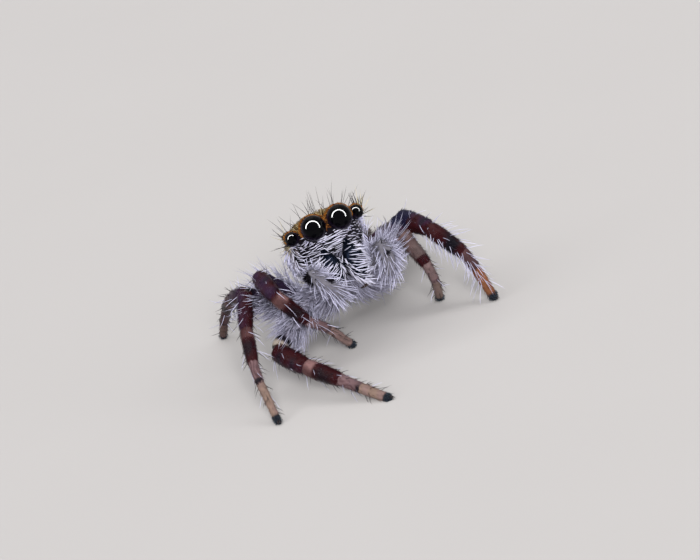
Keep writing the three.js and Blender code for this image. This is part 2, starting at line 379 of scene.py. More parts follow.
def hind_shape(depth):
    """The hind body: an egg, blunt in front and drawn in behind, with a soft ripple."""
    width = [w * 1.08 - depth for w in (0.72, 0.92, 1, 1, 0.97, 0.86, 0.6)]
    height = [h * 0.93 - depth for h in (0.8, 0.97, 1, 0.98, 0.9, 0.76, 0.55)]
    rise = (0.12, 0.16, 0.12, 0.05, -0.02, -0.08, -0.1)

    def shape(t, angle, r):
        s = (1 - math.cos(t * math.pi)) / 2
        edge = r ** 0.8 * (1 + 0.012 * math.sin(s * 38) * math.cos(angle))
        return (math.sin(angle) * along(width, s) * edge,
                depth + s * (HIND_LENGTH - 2 * depth),
                along(rise, s) + math.cos(angle) * along(height, s) * edge)

    return shape


def jaw_shape(side):
    """One half of the jaws, broad above and narrower below, from its top to its fang."""
    wide = (0.26, 0.3, 0.31, 0.29, 0.22)
    deep = (0.28, 0.35, 0.34, 0.28, 0.2)

    def shape(t, angle, r):
        edge = square(angle, 2.4) * r ** 0.7
        return (side * 0.345 + math.sin(angle) * along(wide, t) * edge,
                0.36 - 0.28 * t - math.cos(angle) * along(deep, t) * edge,
                -0.6 - 1.33 * t)

    return shape


def add_head(flesh, depth):
    """The shell with a rim round each eye, and the soft underside."""
    shell = Part("shell", HEAD, BACK_LENGTH)
    flesh.add(shell, shell_shape(depth), sides=56, rings=40)
    for _, centre, radius, _ in each_eye():
        rim = radius * 1.05 + 0.012
        flesh.ball(shell, centre + (0, radius * 0.34, 0), (rim, rim, rim))
    belly = Part("belly", HEAD, BACK_LENGTH)
    flesh.ball(belly, (0, 2.05, -1.55), (0.62, 1.25, 0.32))
    flesh.ball(belly, (0, 1.42, -1.27), (0.8, 0.85, 0.48))


def add_hips(flesh, side):
    """The four short hips on one side of the underside."""
    for out, back, up in HIPS:
        inner = HEAD @ Vector((side * 0.3, back, up + 0.08))
        outer = HEAD @ Vector((side * (out + 0.12), back, up))
        hip = Part("hip", axis_frame(inner, outer, UP), (outer - inner).length, side)
        flesh.limb(hip, (0.24, 0.27, 0.26, 0.24, 0.2), over=0.05)


def add_feeler(flesh, side):
    """One feeler, as a round limb between each two points of its middle line."""
    line = [HEAD @ point for point in feeler_line(side)]
    up = HEAD.to_3x3() @ Vector((0, -1, 0.6))
    for i, (start, end) in enumerate(zip(line, line[1:])):
        feeler = Part("feeler", axis_frame(start, end, up), (end - start).length, side, str(i))
        a, b = FEELER_RADII[i], FEELER_RADII[i + 1]
        flesh.limb(feeler, (a * 0.86, a * 1.04, (a + b) / 2 * 1.1, b * 1.05, b * 0.88), over=0.06)


def add_leg(flesh, leg):
    """One leg's five pieces. The first begins inside the hip, and the last ends in the toe."""
    joints = leg_joints(leg)
    side = -1 if leg.startswith("right") else 1
    arch = (joints[1] + joints[2]) / 2 - (joints[0] + joints[5]) / 2
    for piece, start, end in zip(LEG_PIECES, joints, joints[1:]):
        if piece == "femur":
            start = start + (start - end).normalized() * 0.2
        if piece == "tarsus":
            end = end + (start - end).normalized() * 0.06
        part = Part(piece, axis_frame(start, end, arch), (end - start).length, side, leg)
        flesh.limb(part, [r * THICKNESS[leg[-1]] for r in LEG_RADII[piece]])


def add_hind_body(flesh, depth):
    """The hind body, the waist that joins it to the head and the four spinnerets at its end."""
    hind = Part("hind", HIND, HIND_LENGTH)
    flesh.add(hind, hind_shape(depth), sides=48, rings=40)
    start = HEAD @ Vector((0, BACK_LENGTH - 0.4, -1.0))
    end = HIND @ Vector((0, 0.3, 0.05))
    waist = Part("waist", axis_frame(start, end, UP), (end - start).length)
    flesh.limb(waist, (0.16, 0.15, 0.14, 0.15, 0.18))
    for x, z, reach in ((-0.12, 0.0, 0.16), (0.12, 0.0, 0.16), (-0.09, -0.13, 0.12), (0.09, -0.13, 0.12)):
        start = HIND @ Vector((x * 0.7, HIND_LENGTH - 0.3, z - 0.08))
        end = HIND @ Vector((x, HIND_LENGTH + reach, z - 0.12))
        nib = Part("spinneret", axis_frame(start, end, UP), (end - start).length)
        flesh.limb(nib, (0.09, 0.095, 0.09, 0.075, 0.05), over=0)


def build_flesh(depth):
    """All of the soft body's shapes, with the coat's depth taken off."""
    flesh = Flesh()
    add_head(flesh, depth)
    for _, side in SIDES:
        flesh.add(Part("jaw", HEAD, BACK_LENGTH, side), jaw_shape(side), sides=28, rings=24)
        add_hips(flesh, side)
        add_feeler(flesh, side)
    for leg in LEGS:
        add_leg(flesh, leg)
    add_hind_body(flesh, depth)
    return flesh


class Skin:
    """The finished skin's points in millimetres, and what part of the body each is on."""

    def __init__(self, mesh, flesh):
        mesh.calc_loop_triangles()
        self.points = rows_of(mesh.vertices, "co")
        self.normals = rows_of(mesh.vertex_normals, "vector")
        self.tris = rows_of(mesh.loop_triangles, "vertices", int)
        a, b, c = (self.points[self.tris[:, i]] for i in range(3))
        self.area = np.linalg.norm(np.cross(b - a, c - a), axis=1) / 2
        self.parts = flesh.parts
        tree = tree_of([co for co, _ in flesh.labels])
        labels = np.array([label for _, label in flesh.labels])
        self.part = labels[[tree.find(p)[1] for p in self.points]]
        self.kind = np.array([p.kind for p in self.parts])[self.part]
        self.side = np.array([p.side for p in self.parts])[self.part]
        self.leg = np.array([p.leg for p in self.parts])[self.part]
        self.local = np.empty_like(self.points)
        self.along_axis = np.empty_like(self.points)
        for i, part in enumerate(self.parts):
            on = self.part == i
            self.local[on] = moved(part.place.inverted(), self.points[on])
            self.local[on, 1] /= part.length
            self.along_axis[on] = np.array(part.place)[:3, 1]
        self.head = moved(HEAD.inverted(), self.points)
        self.head_normals = self.normals @ HEAD_AXES
        self.t = self.local[:, 1]  # 0 at a part's near end and 1 at its far end
        self.angle = np.arctan2(self.local[:, 0], self.local[:, 2])
        self.top = np.cos(self.angle)  # 1 on a part's upper side and -1 on its underside

    def on(self, *kinds):
        """Which of the skin's points are on parts of these kinds."""
        return np.isin(self.kind, kinds)

    def stain(self, on, colour, share):
        """Turns the tone of some of the points towards a colour by a share."""
        self.tone[on] = mixed(self.tone[on], colour, share)


def fuse(flesh, step):
    """One closed mesh, in millimetres, from all the shapes."""
    mesh = bpy.data.meshes.new("skin_shapes")
    flesh.bm.to_mesh(mesh)
    flesh.bm.free()
    shapes = add_object("skin_shapes", mesh)
    remesh = shapes.modifiers.new("fuse", "REMESH")
    remesh.mode, remesh.voxel_size, remesh.use_smooth_shade = "VOXEL", step, True
    relax = shapes.modifiers.new("relax", "SMOOTH")
    relax.factor, relax.iterations = 0.5, 4
    fused = bpy.data.meshes.new_from_object(shapes.evaluated_get(bpy.context.evaluated_depsgraph_get()))
    bpy.data.objects.remove(shapes)
    bpy.data.meshes.remove(mesh)
    for v in fused.vertices:  # the feet end in small flats on the floor
        v.co.z = max(v.co.z, 0.0)
    return fused


def on_spots(skin, reach=1.0):
    """Which of the skin's points are on the feelers' spots, or within so many of their radii."""
    away = [np.linalg.norm(skin.head - spot[:3], axis=1) < spot[3] * reach for spot in SPOTS]
    return skin.on("feeler") & np.any(away, axis=0)


# ---- Markings, the same for the skin and the coat ------------------------------------------------
def mark(skin):
    """Gives each of the skin's points its tone and its roughness."""
    skin.tone = np.tile(np.array(UMBER), (len(skin.points), 1))
    skin.rough = np.full(len(skin.points), 0.42)
    skin.blotch = swell(skin.points, scale=0.5, seed=3)
    mark_head(skin)
    mark_thighs(skin)
    mark_knees(skin)
    mark_shins(skin)
    mark_feet(skin)
    mark_single_legs(skin)
    mark_hind_body(skin)
    mark_eye_rims(skin)
    skin.tone *= (1 + 0.12 * swell(skin.points, scale=0.14, seed=8))[:, None]
    skin.tone = np.clip(skin.tone, 0.002, 1)


def mark_head(skin):
    """The underside, the shell with its dark face, the steel-blue jaws and the spotted feelers, whose skin is
    darkened with painted shade.
    """
    on = skin.on("belly", "hip")
    skin.tone[on] = mixed(SMOKE, INK, 1 - ramp(skin.head[on, 1], 0.75, 1.05))
    on = skin.on("shell")
    skin.stain(on, INK, ramp(-skin.head_normals[on, 1], -0.2, 0.3))
    on = skin.on("jaw")
    skin.tone[on], skin.rough[on] = STEEL, 0.2
    on = skin.on("feeler")
    # Painted shade: the feelers' skin is PEARL darkened to about two fifths, so that it shows as dark gaps
    # under their white hair.
    skin.tone[on], skin.rough[on] = np.array(PEARL) * 0.38, 0.5
    skin.tone[on_spots(skin)] = INK


def mark_thighs(skin):
    """Thighs, grey under their hair and dark where they are bare near the knee."""
    on = skin.on("femur")
    t, darker = skin.t[on], skin.leg[on] == "right_2"
    bare = ramp(t + 0.15 * skin.top[on] + 0.16 * darker, 0.66, 0.8)
    skin.tone[on] = mixed(SMOKE, PLUM, bare)
    skin.stain(on, INK, 0.5 * bare * darker)
    skin.stain(on, INK, band(t, 0.9, 1.3))


def mark_knees(skin):
    """Knee pieces, from wine to violet with black blotches. The violet on their upper side is partly their
    colour and partly a painted sheen.
    """
    on = skin.on("patella")
    top, blotch = skin.top[on], skin.blotch[on]
    # Partly painted sheen: violet grows over each knee's upper side, weaker on the right front knee.
    violet = ramp(top + 0.5 * blotch, 0.0, 1.5) * np.where(skin.leg[on] == "right_1", 0.3, 0.8)
    skin.tone[on] = mixed(WINE, PLUM, violet)
    skin.stain(on, INK, 0.7 * ramp(blotch, 0.2, 1.1))
    skin.rough[on] = 0.3


def mark_shins(skin):
    """Wine shins with a pale band near the knee and a dark band beyond it."""
    on = skin.on("tibia")
    t, top, blotch = skin.t[on], skin.top[on], skin.blotch[on]
    reach = np.array([PALE_BAND[leg] for leg in skin.leg[on]])
    pale = reach * band(t, 0.02, 0.3, 0.05) * (1 - 0.6 * ramp(top + 0.3 * blotch, 0.2, 0.9))
    skin.tone[on] = mixed(WINE, ROSE, pale)
    dark = band(t, 0.42, 0.8, 0.12) * ramp(top + 0.3 * blotch, -0.3, 0.7)
    skin.stain(on, INK, 0.75 * dark)
    skin.rough[on] = 0.32


def mark_feet(skin):
    """The two foot pieces: the first streaked, with a dark ring at its end, the last with a dark tip."""
    on = skin.on("metatarsus")
    t, top = skin.t[on], skin.top[on]
    streak = 0.5 + 0.5 * np.sin(skin.angle[on] * 7 + 3 * skin.blotch[on])
    shown = 0.2 + 0.5 * streak * ramp(top, -0.5, 0.8) + 0.5 * (skin.leg[on] == "left_1")
    skin.tone[on] = mixed(BUFF, WINE, np.minimum(shown, 0.92))
    skin.stain(on, INK, band(t, 0.84, 1.06, 0.05) * (0.4 + 0.55 * ramp(top, -0.3, 0.5)))
    skin.rough[on] = 0.36
    on = skin.on("tarsus")
    rosy = 0.5 * ramp(skin.blotch[on], -0.5, 0.8) + 0.5 * (skin.leg[on] == "right_2")
    skin.tone[on] = mixed(TAN, BUFF, rosy)
    skin.stain(on, AMBER, 0.9 * (skin.leg[on] == "left_1"))
    skin.stain(on, SOLE, ramp(skin.t[on], 0.8, 0.85))


def mark_single_legs(skin):
    """What only single legs have: rings on a thigh, a blue-black knee, a dark patch, duller tones."""
    t = skin.t
    ring = skin.on("femur") & (skin.leg == "right_1")
    skin.stain(ring, INK, band(t[ring], 0.79, 0.86, 0.02))
    skin.stain(ring, BONE, 0.8 * band(t[ring], 0.87, 0.96, 0.02))
    knee = (skin.leg == "left_1") & (skin.on("patella") & (t < 0.45) | skin.on("femur") & (t > 0.8))
    skin.stain(knee, NAVY, 0.9)
    patch = skin.on("tibia") & (skin.leg == "left_1") & (skin.top < 0.7)
    skin.stain(patch, INK, band(t[patch], 0.58, 0.88, 0.08))
    dusty = skin.leg == "left_2"
    skin.stain(dusty, DUST, 0.55 * (t[dusty] < 0.8))
    reddish = skin.on("metatarsus", "tarsus") & (skin.leg == "right_4")
    skin.stain(reddish, WINE, 0.6)


def mark_hind_body(skin):
    """The patterned hind body, with its plain waist and spinnerets."""
    on = skin.on("hind")
    skin.tone[on], skin.rough[on] = hind_pattern(skin.local[on], skin.blotch[on]), 0.55
    skin.tone[skin.on("spinneret", "waist")] = FAWN


def hind_pattern(local, blotch):
    """The hind body's pale front band, side bands, pairs of spots and dark chevrons."""
    x, t, z = local[:, 0], local[:, 1], local[:, 2]
    upper = ramp(z, -0.3, 0.2)
    tone = np.tile(np.array(FAWN), (len(x), 1))
    tone = mixed(tone, UMBER, 0.75 * upper * band(np.abs(x), -0.5, 0.5, 0.12) * ramp(t, 0.12, 0.25))
    tone = mixed(tone, PEARL, 0.75 * upper * band(t, 0.03, 0.13, 0.03))
    slant = t + 0.16 * np.abs(x)
    paired = 0.7 * upper * band(np.abs(x), 0.1, 0.45, 0.06)
    for place, width in ((0.36, 0.02), (0.52, 0.022), (0.66, 0.02), (0.78, 0.018)):
        tone = mixed(tone, PEARL, paired * band(slant, place, place + width, 0.018))
    side = band(np.abs(x) + 0.25 * z, 0.72, 0.86, 0.05) * ramp(t, 0.3, 0.45)
    tone = mixed(tone, PEARL, 0.45 * side)
    return tone * (1 + 0.15 * blotch)[:, None]


def mark_eye_rims(skin):
    """Black skin round each eye."""
    for _, centre, radius, _ in each_eye():
        away = np.linalg.norm(skin.head - (centre + (0, radius * 0.2, 0)), axis=1)
        near = skin.on("shell") & (away < radius * 1.6)
        skin.stain(near, INK, 1 - ramp(away[near] / radius, 1.3, 1.6))


# ---- The lie of the coat -------------------------------------------------------------------------
def lie_of_coat(skin):
    """The way in which a hair lies at each of the skin's points."""
    way = skin.along_axis.copy()
    x, _, z = skin.head.T
    side = np.sign(x)

    def head_way(out, back, up):
        return np.stack(np.broadcast_arrays(out, back, up), axis=1) @ HEAD_AXES.T

    # Hair on the face is combed to the middle, and over the rest of the shell it lies back.
    on = skin.on("shell")
    normals = skin.head_normals
    front = ramp(0.3 * (x > 0.8) - normals[:, 1], 0.0, 0.25) * ramp(-z, -0.05, 0.1)
    back = head_way(side * 0.12, 0.9, -0.45 * ramp(-z, 0.0, 0.6))
    inward = side * unit(np.stack([normals[:, 1], -normals[:, 0]], axis=1) + 1e-9).T
    across = head_way(*inward, 0.14 - 0.9 * ramp(-x, 0.8, 1.15))
    way[on] = mixed(unit(back[on]), unit(across[on]), front[on])

    # It hangs on the cheeks, parts to both sides on the jaws and slants back under the body.
    cheek = on & (np.abs(x) > 1.02) & (z < np.where(x > 0, -0.6, -0.25))
    way[cheek] = head_way(side * 0.2, 0.35, -0.9)[cheek]
    on = skin.on("jaw")
    way[on] = head_way(skin.side * 0.9, 0.0, -0.5 + 0.42 * ramp(-z, 1.2, 1.5))[on]
    on = skin.on("belly")
    way[on] = head_way(side * 0.5, 0.6, -0.3)[on]
    way = way - skin.normals * dot(way, skin.normals)[:, None]
    return unit(way)


# ---- Hair ----------------------------------------------------------------------------------------
class Roots:
    """Places on the skin that hairs grow from."""

    def __init__(self, skin, density, rng):
        """Spreads them so that density gives how many there are to a square millimetre."""
        weight = np.cumsum(skin.area * density[skin.tris].mean(axis=1))
        count = int(weight[-1])
        picks = rng.permutation(np.arange(count) + rng.random(count)) / max(count, 1) * weight[-1]
        face = np.minimum(np.searchsorted(weight, picks), len(weight) - 1)
        a, b = rng.random((2, count))
        over = a + b > 1
        a[over], b[over] = 1 - a[over], 1 - b[over]
        share = np.stack([1 - a - b, a, b], axis=1)
        corners = skin.tris[face]
        self.at = corners[np.arange(count), share.argmax(axis=1)]
        self.points = np.einsum("nk,nkc->nc", share, skin.points[corners])
        self.normals = unit(np.einsum("nk,nkc->nc", share, skin.normals[corners]))
        self.lie = unit(skin.lie[self.at])
        self.count = count
        self.rng = rng

    def vary(self, low, high):
        """A random number between low and high for each root."""
        return self.rng.uniform(low, high, self.count)

    def keep(self, kept):
        """Drops all but the roots that are kept."""
        self.at, self.points, self.normals, self.lie = (
            rows[kept] for rows in (self.at, self.points, self.normals, self.lie))
        self.count = len(self.at)

    def space_out(self, aside, ahead):
        """Thins the roots until none is nearer to another than aside, across the hair's lie, or
        ahead, along it."""
        tree = tree_of(self.points)
        across = np.cross(self.normals, self.lie)
        kept = np.ones(self.count, bool)
        for i in range(self.count):
            if not kept[i]:
                continue
            around = tree.find_range(self.points[i], max(aside, ahead))
            near = [j for _, j, _ in around if j > i and kept[j]]
            away = self.points[near] - self.points[i]
            close = ((away @ across[i]) / aside) ** 2 + ((away @ self.lie[i]) / ahead) ** 2 < 1
            kept[np.array(near, int)[close]] = False
        self.keep(kept)


class Coat:
    """Hairs of one piece, gathered layer by layer and then made into one mesh."""

    def __init__(self, skin, seed):
        self.skin, self.rng = skin, np.random.default_rng(seed)
        self.corners, self.tones, self.places = [], [], []

    def spread(self, density):
        """New roots, with density giving how many there are to a square millimetre."""
        return Roots(self.skin, density, self.rng)

    def grow(self, roots, length, width, lift, curl, sway, tone, rings=3, deep=0.72):
        """Adds tapered hairs with three sides. lift is the angle, in degrees, at which they leave
        the skin, curl is the share of it that they lose by their tips, and sway bends them aside.
        deep is how bright they are at the root, against the tip: painted shade that darkens each hair towards
        its root."""
        if not roots.count:
            return
        skin, rng, n = self.skin, self.rng, roots.count
        length, width, lift, curl, sway = (np.broadcast_to(np.asarray(v, float), n)
                                           for v in (length, width, lift, curl, sway))
        lift = np.radians(lift)
        normal, lie = roots.normals, roots.lie
        lie = unit(lie - normal * dot(lie, normal)[:, None])
        aside = np.cross(normal, lie)
        turn = sway * (0.6 * swell(roots.points, scale=0.7, seed=5) + 0.7 * rng.normal(size=n))
        bend = sway * 0.8 * rng.normal(size=n)
        point = roots.points - normal * ROOT_DEPTH
        rows = []
        for k in range(rings + 1):
            s = k / rings
            angle = lift * (1 - curl * s)
            yaw = turn + bend * s
            heading = lie * np.cos(yaw)[:, None] + aside * np.sin(yaw)[:, None]
            way = heading * np.cos(angle)[:, None] + normal * np.sin(angle)[:, None]
            across = unit(np.cross(way, normal) + 1e-6)
            up = np.cross(across, way)
            reach = width / 2 * (1 - s) ** 0.55
            if k == rings:
                rows.append(point[:, None])
                break
            corners = [point + (across * math.cos(a) + up * math.sin(a)) * reach[:, None]
                       for a in (math.pi / 2, math.pi * 7 / 6, math.pi * 11 / 6)]
            rows.append(np.stack(corners, axis=1))
            point = point + way * (length / rings)[:, None]
        block = np.concatenate(rows, axis=1)
        block[:, :, 2] = np.maximum(block[:, :, 2], FLOOR_GAP)
        tone = np.broadcast_to(np.asarray(tone, float), (n, 3)) * rng.uniform(0.8, 1.12, (n, 1))
        # Painted shade: each hair's tone darkens from its tip down to deep at its root.
        shade = deep + (1 - deep) * np.append(np.repeat(np.arange(rings), 3), rings) / rings
        self.corners.append((rings, block))
        self.tones.append(tone[:, None] * shade[None, :, None])
        part = skin.part[roots.at]
        turn_share = (skin.angle[roots.at] / (2 * math.pi) + 0.5) % 1
        self.places.append(np.stack([part, turn_share, np.clip(skin.t[roots.at], 0, 1)], axis=1))

    def unwrap(self):
        """Where each hair's patch goes on the map: each part of the body has a square of its own, which
        goes round the part in one direction and along it in the other."""
        places = np.concatenate(self.places)
        known = np.unique(places[:, 0])
        columns = math.ceil(math.sqrt(len(known)))
        rank = np.searchsorted(known, places[:, 0])
        margin = 0.06  # left free along each square's edges
        spot = np.stack([(rank % columns) + margin + (1 - 2 * margin) * places[:, 1],
                         (rank // columns) + margin + (1 - 2 * margin) * places[:, 2]], axis=1)
        return (spot - spot.min(axis=0)) / np.maximum(np.ptp(spot, axis=0), 1e-6) * 0.99 + PATCH

    def mesh(self, name):
        """One mesh of all the hairs, with their map and their tones."""
        verts, corners, sizes, uvs = [], [], [], []
        start = done = 0
        spot = self.unwrap()
        for rings, block in self.corners:
            n, per = block.shape[:2]
            quads, quad_uv, tris, tri_uv = hair_faces(rings)
            first = start + np.arange(n)[:, None] * per
            here = spot[done:done + n]
            for table, uv in ((quads, quad_uv), (tris, tri_uv)):
                corners.append((first[:, :, None] + table[None]).reshape(-1))
                sizes.append(np.full(n * len(table), table.shape[1]))
                uvs.append((here[:, None, None] + uv[None] * PATCH).reshape(-1, 2))
            verts.append(block.reshape(-1, 3))
            start += n * per
            done += n
        hairs = mesh_of(name, *(np.concatenate(rows) for rows in (verts, corners, sizes)))
        layer = hairs.uv_layers.new(name="OFBake")
        layer.uv.foreach_set("vector", np.concatenate(uvs).reshape(-1))
        paint(hairs, "tone", np.concatenate([t.reshape(-1, 3) for t in self.tones]))
        return hairs


def mesh_of(name, verts, corners, sizes):
    """A smooth mesh from points in millimetres, the points at its faces' corners, face after face,
    and how many corners each face has."""
    mesh = bpy.data.meshes.new(name)
    mesh.vertices.add(len(verts))
    mesh.vertices.foreach_set("co", (verts * MM).reshape(-1))
    mesh.loops.add(len(corners))
    mesh.loops.foreach_set("vertex_index", corners)
    mesh.polygons.add(len(sizes))
    mesh.polygons.foreach_set("loop_start", np.concatenate([[0], np.cumsum(sizes)[:-1]]))
    mesh.polygons.foreach_set("loop_total", sizes)
    mesh.update(calc_edges=True)
    mesh.shade_smooth()
    return mesh


def hair_faces(rings):
    """Faces of one hair with their places in its patch: sides, then the point and the root."""
    quads, quad_uv, tris, tri_uv = [], [], [], []
    for k in range(rings):
        low, high = k / rings, (k + 1) / rings
        for j in range(3):
            a, b = 3 * k + j, 3 * k + (j + 1) % 3
            left, right = j / 3, (j + 1) / 3
            if k < rings - 1:
                quads.append((a, b, b + 3, a + 3))
                quad_uv.append(((left, low), (right, low), (right, high), (left, high)))
            else:
                tris.append((a, b, 3 * rings))
                tri_uv.append(((left, low), (right, low), ((left + right) / 2, high)))
    tris.append((0, 2, 1))
    tri_uv.append(((0.2, 0), (0.5, 0.5), (0.8, 0)))
    return (np.array(quads).reshape(-1, 4), np.array(quad_uv).reshape(-1, 4, 2),
            np.array(tris), np.array(tri_uv))


def paint(mesh, name, colours):
    """Gives each point of a mesh its colour."""
    layer = mesh.color_attributes.new(name=name, type="FLOAT_COLOR", domain="POINT")
    rows = np.ones((len(mesh.vertices), 4))
    rows[:, :3] = colours
    layer.data.foreach_set("color", rows.reshape(-1))


def finish_piece(name, mesh, material, replaced=()):
    """Adds a finished piece of the spider to the scene."""
    mesh.materials.append(material)
    piece = add_object(name, mesh)
    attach(piece, "root")
    if replaced:
        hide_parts(*replaced)


# ---- Coats ---------------------------------------------------------------------------------------
class Look:
    """The coat's settings as plain numbers."""

    def __init__(self, settings):
        self.fullness = settings.fullness
        self.white = np.array(settings.white)
        self.cream = np.array(settings.cream)
        self.gold = np.array(settings.gold)
        self.orange = np.array(settings.orange)
        self.soot = np.array(settings.soot)


def eye_gap(skin):
    """For each point, from the nearest eye: its distance from the eye's middle, the way straight
    out, the way round, and how far below the middle it is. Distances are in that eye's radii."""
    gap, drop = np.full(len(skin.points), 9.0), np.zeros(len(skin.points))
    out, round_it = np.zeros_like(skin.points), np.zeros_like(skin.points)
    for side, centre, radius, swing in each_eye():
        away = skin.head - centre
        far = np.linalg.norm(away, axis=1) / radius
        look = np.array((side * math.sin(math.radians(swing)), -math.cos(math.radians(swing)), 0))
        nearer = far < gap
        gap[nearer], drop[nearer] = far[nearer], -away[nearer, 2] / radius
        flat = unit(away - look * (away @ look)[:, None])
        out[nearer] = flat[nearer]
        round_it[nearer] = np.cross(look, flat)[nearer] * side
    return gap, out @ HEAD_AXES.T, round_it @ HEAD_AXES.T, drop


def clear_of_eyes(roots, length):
    """Which roots have hairs that don't reach over an eye, seen from in front of the head."""
    kept = np.ones(roots.count, bool)
    for share in (0.0, 0.35, 0.7, 1.0):
        x, y, z = moved(HEAD.inverted(), roots.points + roots.lie * length * share).T
        for _, centre, radius, _ in each_eye():
            over = np.hypot(x - centre[0], z - centre[2]) < radius * 0.97
            kept &= ~(over & (y < centre[1] + radius))
    return kept


def face_coat(skin, look):
    """White hair combed across the face and jaws, and golden rings over the eyes."""
    coat = Coat(skin, seed=11)
    x, y, z = skin.head.T
    facing = -skin.head_normals[:, 1]
    shell, jaw = skin.on("shell"), skin.on("jaw")
    gap, out, round_it, drop = eye_gap(skin)
    # Painted light: the face's hair is a tenth brighter than the coat's white, for the light that the face
    # lacks.
    white = np.minimum(look.white * 1.1, 1.0)

    brow_line = -0.12 - 0.08 * ramp(gap, 1.0, 1.3) - 0.16 * (np.abs(x) < 0.14)
    cleft = (np.abs(x) < 0.28) & (z < -0.66)
    below = shell & (gap > 0.99) & (z < brow_line) & (facing > 0.0) & ~cleft
    roots = coat.spread(below * look.fullness * 1100.0)
    roots.space_out(aside=0.07, ahead=0.17)
    roots.keep(clear_of_eyes(roots, 0.42))
    coat.grow(roots, length=roots.vary(0.3, 0.5), width=0.045, lift=roots.vary(7, 14), curl=0.9,
              sway=0.05, tone=white, deep=0.85)

    # Partly bare black jaw and partly painted shade: the white hair is thinned over a patch that also takes
    # in the dark gap beside the jaw.
    bare = (x > 0.1) & (x < 0.7) & (z < -0.62) & (z > -1.32)
    roots = coat.spread(jaw * (1 - 0.93 * bare) * (z < -0.78) * look.fullness * 1000.0)
    roots.space_out(aside=0.072, ahead=0.17)
    coat.grow(roots, length=roots.vary(0.36, 0.56), width=0.038, lift=roots.vary(8, 16), curl=0.6,
              sway=0.08, tone=white, deep=0.85)
    roots = coat.spread(jaw * (z < -1.15) * (facing > -0.2) * look.fullness * 1000.0)
    roots.space_out(aside=0.06, ahead=0.15)
    coat.grow(roots, length=roots.vary(0.3, 0.42), width=0.034, lift=roots.vary(8, 15), curl=0.8,
              sway=0.05, tone=white)
    roots = coat.spread(jaw * (z < -1.8) * 200.0)
    roots.lie = unit(roots.lie - 1.4 * HEAD_AXES[:, 2])
    coat.grow(roots, length=roots.vary(0.3, 0.45), width=0.032, lift=roots.vary(5, 30), curl=0.3,
              sway=0.2, tone=white)

    cheek = shell & (gap > 1.1) & (facing < 0.15) & (y < 1.9) & (z < -0.2)
    roots = coat.spread(cheek * look.fullness * 200.0)
    coat.grow(roots, length=roots.vary(0.25, 0.45), width=0.034, lift=roots.vary(15, 40), curl=0.6,
              sway=0.3, tone=look.white)

    ring = shell & (gap > 1.0) & (gap < 1.34) & (drop < 0.4) & (y < 1.0)
    roots = coat.spread(ring * 1100.0)
    roots.lie = unit(0.8 * out[roots.at] + 0.6 * round_it[roots.at] + 1e-6)
    share = roots.vary(-1.0, 0.6)
    tone = mixed(look.orange, look.gold, np.maximum(share, 0))
    coat.grow(roots, length=roots.vary(0.06, 0.12), width=0.027, lift=roots.vary(10, 35), curl=0.8,
              sway=0.25, tone=mixed(tone, INK, np.maximum(-share, 0)))

    brow = shell & (gap > 1.15) & (z > 0.0) & (y < 0.9)
    roots = coat.spread(brow * look.fullness * 260.0)
    share = roots.vary(-0.8, 1.0)
    tone = mixed(look.gold, look.cream, np.maximum(share, 0))
    coat.grow(roots, length=roots.vary(0.16, 0.3), width=0.03, lift=roots.vary(8, 32), curl=0.6,
              sway=0.35, tone=mixed(tone, INK, np.maximum(-share, 0)))
    return coat


def feeler_coat(skin, look):
    """The feelers' long white hair, which stands out on every side, and their few dark spines."""
    coat = Coat(skin, seed=12)
    feeler = skin.on("feeler") & ~on_spots(skin, 1.2)
    front = ramp(skin.top, 0.35, 0.95)
    thin = np.where(np.isin(skin.leg, ("1", "2")), 1 - 0.75 * front, 1.0)
    # Painted shade: the short under-layer is greyed towards SMOKE, and both layers are dark at their roots,
    # for the shade among the hair.
    roots = coat.spread(feeler * thin * look.fullness * 130.0)
    coat.grow(roots, length=roots.vary(0.16, 0.3), width=0.026, lift=roots.vary(20, 45), curl=0.5,
              sway=0.25, tone=mixed(look.white, SMOKE, roots.vary(0.4, 1)), deep=0.4)
    roots = coat.spread(feeler * thin * look.fullness * 800.0)
    roots.space_out(aside=0.07, ahead=0.13)
    coat.grow(roots, length=roots.vary(0.34, 0.6), width=0.034, lift=roots.vary(24, 52), curl=0.45,
              sway=0.14, tone=look.white, rings=4, deep=0.35)
    spine = feeler & (skin.top > 0.55) & np.isin(skin.leg, ("1", "2"))
    roots = coat.spread(spine * 4.0 + on_spots(skin) * 260.0)
    coat.grow(roots, length=roots.vary(0.1, 0.2), width=0.045, lift=roots.vary(50, 80), curl=0.2,
              sway=0.3, tone=INK)
    return coat


def shell_coat(skin, look):
    """Short bronze and grey hair lying back over the head and thorax, paler at the sides."""
    coat = Coat(skin, seed=13)
    x, y, z = skin.head.T
    gap = eye_gap(skin)[0]
    over = skin.on("shell") & (gap > 1.15) & ((y > 0.9) | (z > 0.1)) & (skin.head_normals[:, 1] > -0.3)
    roots = coat.spread(over * look.fullness * 300.0)
    pale = ramp(-z[roots.at] + 0.4 * np.abs(x[roots.at]), 0.45, 0.95)
    tone = mixed(look.gold * 0.55, BRONZE, roots.vary(0, 1))
    tone = mixed(tone, look.white, pale * roots.vary(0.3, 0.9))
    coat.grow(roots, length=roots.vary(0.16, 0.3), width=0.024, lift=roots.vary(7, 20), curl=0.8,
              sway=0.25, tone=tone)
    return coat


